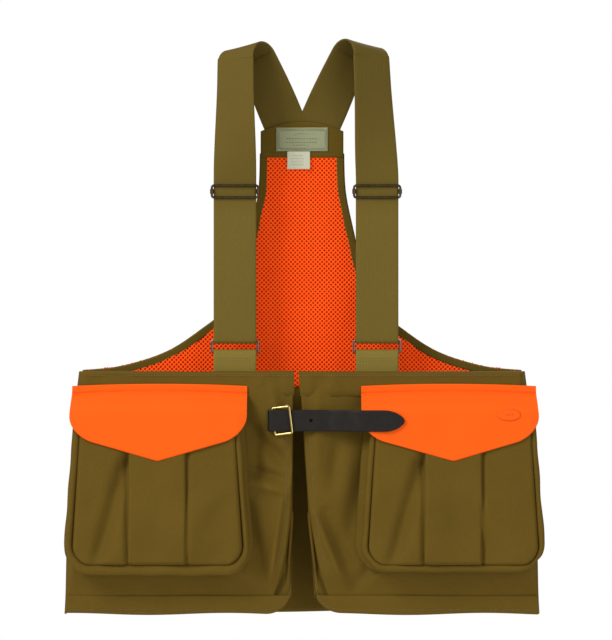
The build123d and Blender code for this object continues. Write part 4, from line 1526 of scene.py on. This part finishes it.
def make_stage():
    scene = bpy.context.scene
    settings = scene.vest_stage
    centre = Vector(VIEW_CENTRE)
    data = bpy.data.cameras.new("camera")
    data.lens, data.sensor_width = settings.lens, 36
    camera = bpy.data.objects.new("camera", data)
    camera.location = (centre.x, BAG_OUT - settings.distance, centre.z)
    camera.rotation_euler = (pi / 2, 0, 0)
    scene.collection.objects.link(camera)
    scene.camera = camera

    world = bpy.data.worlds.new("studio")
    world.use_nodes = True
    nodes, links = world.node_tree.nodes, world.node_tree.links
    backdrop = nodes["Background"]
    backdrop.inputs[0].default_value = (1, 1, 1, 1)
    soft_light = nodes.new("ShaderNodeBackground")
    soft_light.inputs[0].default_value = (1, 1, 1, 1)
    soft_light.inputs[1].default_value = settings.soft
    either = nodes.new("ShaderNodeMixShader")
    links.new(nodes.new("ShaderNodeLightPath").outputs["Is Camera Ray"], either.inputs[0])
    links.new(soft_light.outputs[0], either.inputs[1])
    links.new(backdrop.outputs[0], either.inputs[2])
    links.new(either.outputs[0], nodes["World Output"].inputs[0])
    scene.world = world
    scene.view_settings.view_transform = "Standard"

    for name, (place, size, share) in LIGHTS.items():
        light = bpy.data.lights.new(name, "AREA")
        light.energy, light.size = settings.key * share, size
        lamp = bpy.data.objects.new(name, light)
        lamp.location = place
        lamp.rotation_euler = (centre - Vector(place)).to_track_quat("-Z", "Y").to_euler()
        scene.collection.objects.link(lamp)

    mesh = bpy.data.meshes.new("studio_floor")
    shape = bmesh.new()
    bmesh.ops.create_circle(shape, cap_ends=True, segments=96, radius=FLOOR_RADIUS)
    bmesh.ops.translate(shape, vec=(0, 0, HEM - FLOOR_DROP), verts=shape.verts)
    shape.to_mesh(mesh)
    shape.free()
    floor = bpy.data.objects.new("studio_floor", mesh)
    scene.collection.objects.link(floor)
    finish = Finish("pale_floor")
    soft = finish.speckle(0.2)
    mesh.materials.append(finish.set(
        Base_Color=finish.blend(soft, (0.80, 0.80, 0.79), (0.84, 0.84, 0.83)), Roughness=0.8))


# ---- add-on ----
OPERATORS = []


def operator(name, label, docstring, *makers, each_side=False):
    """An operator that makes one piece, or a group of like pieces."""

    def execute(self, context):
        for make in makers:
            for side in (SIDES if each_side else (None,)):
                make(side) if side else make()
        return {"FINISHED"}

    made = type(f"VEST_OT_{name}", (bpy.types.Operator,), {
        "bl_idname": f"vest.{name}", "bl_label": label, "bl_options": {"REGISTER", "UNDO"},
        "__doc__": docstring, "execute": execute})
    OPERATORS.append(made)


operator("waist", "Waist", "Linings, hem facings and side folds", make_waist, each_side=True)
operator("back_mesh", "Back mesh", "Two layers of knitted mesh", make_mesh)
operator("back_waist", "Back waist", "Canvas waist behind the wearer", make_back_panel)
operator("front_bag", "Front bags", "Outer plies of the front-loading bag", make_bag,
         each_side=True)
operator("waist_band", "Waist bands", "Bands along the waist's top", make_band, each_side=True)
operator("pockets", "Pockets", "Bellows pockets with box pleats", make_pocket, each_side=True)
operator("flaps", "Flaps", "Blaze flaps over the pockets", make_flap, each_side=True)
operator("flap_patch", "Flap patch", "Plain oval patch", make_flap_patch)
operator("binding", "Armhole tape", "Tape round the mesh", make_binding, each_side=True)
operator("yoke", "Yoke", "Yoke between the straps", make_yoke)
operator("labels", "Labels", "Neck label and tag", make_labels)
operator("game_bag", "Game bag", "Bag on the back", make_game_bag)
operator("straps", "Shoulder straps", "Straps, take-up plies and ring tabs", make_shoulder_strap,
         make_take_up, make_ring_tab, each_side=True)
operator("closure", "Leather closure", "Leather strap with its punched hole", make_closure)
operator("hardware", "Hardware", "Finishes of the wire and brass", make_hardware)
operator("seams", "Seams", "Topstitching", make_seams)
operator("stage", "Stage", "Camera, light and floor", make_stage)


class VEST_PT_panel(bpy.types.Panel):
    """Lists the vest's settings and pieces."""

    bl_label = "Strap vest"
    bl_space_type = "VIEW_3D"
    bl_region_type = "UI"
    bl_category = "Vest"

    def draw(self, context):
        for settings in (context.scene.vest_sizes, context.scene.vest_colours,
                         context.scene.vest_stage):
            column = self.layout.column()
            for key in settings.__annotations__:
                column.prop(settings, key)
        for made in OPERATORS:
            self.layout.operator(made.bl_idname)


GROUPS = {"vest_sizes": VestSizes, "vest_colours": VestColours, "vest_stage": VestStage}


def register():
    for made in (*GROUPS.values(), *OPERATORS, VEST_PT_panel):
        bpy.utils.register_class(made)
    for name, group in GROUPS.items():
        setattr(bpy.types.Scene, name, PointerProperty(type=group))


def unregister():
    for name in GROUPS:
        delattr(bpy.types.Scene, name)
    for made in (VEST_PT_panel, *reversed(OPERATORS), *GROUPS.values()):
        bpy.utils.unregister_class(made)


def main():
    register()
    for made in OPERATORS:
        getattr(bpy.ops.vest, made.bl_idname.split(".")[1])()


if __name__ == "__main__":
    main()
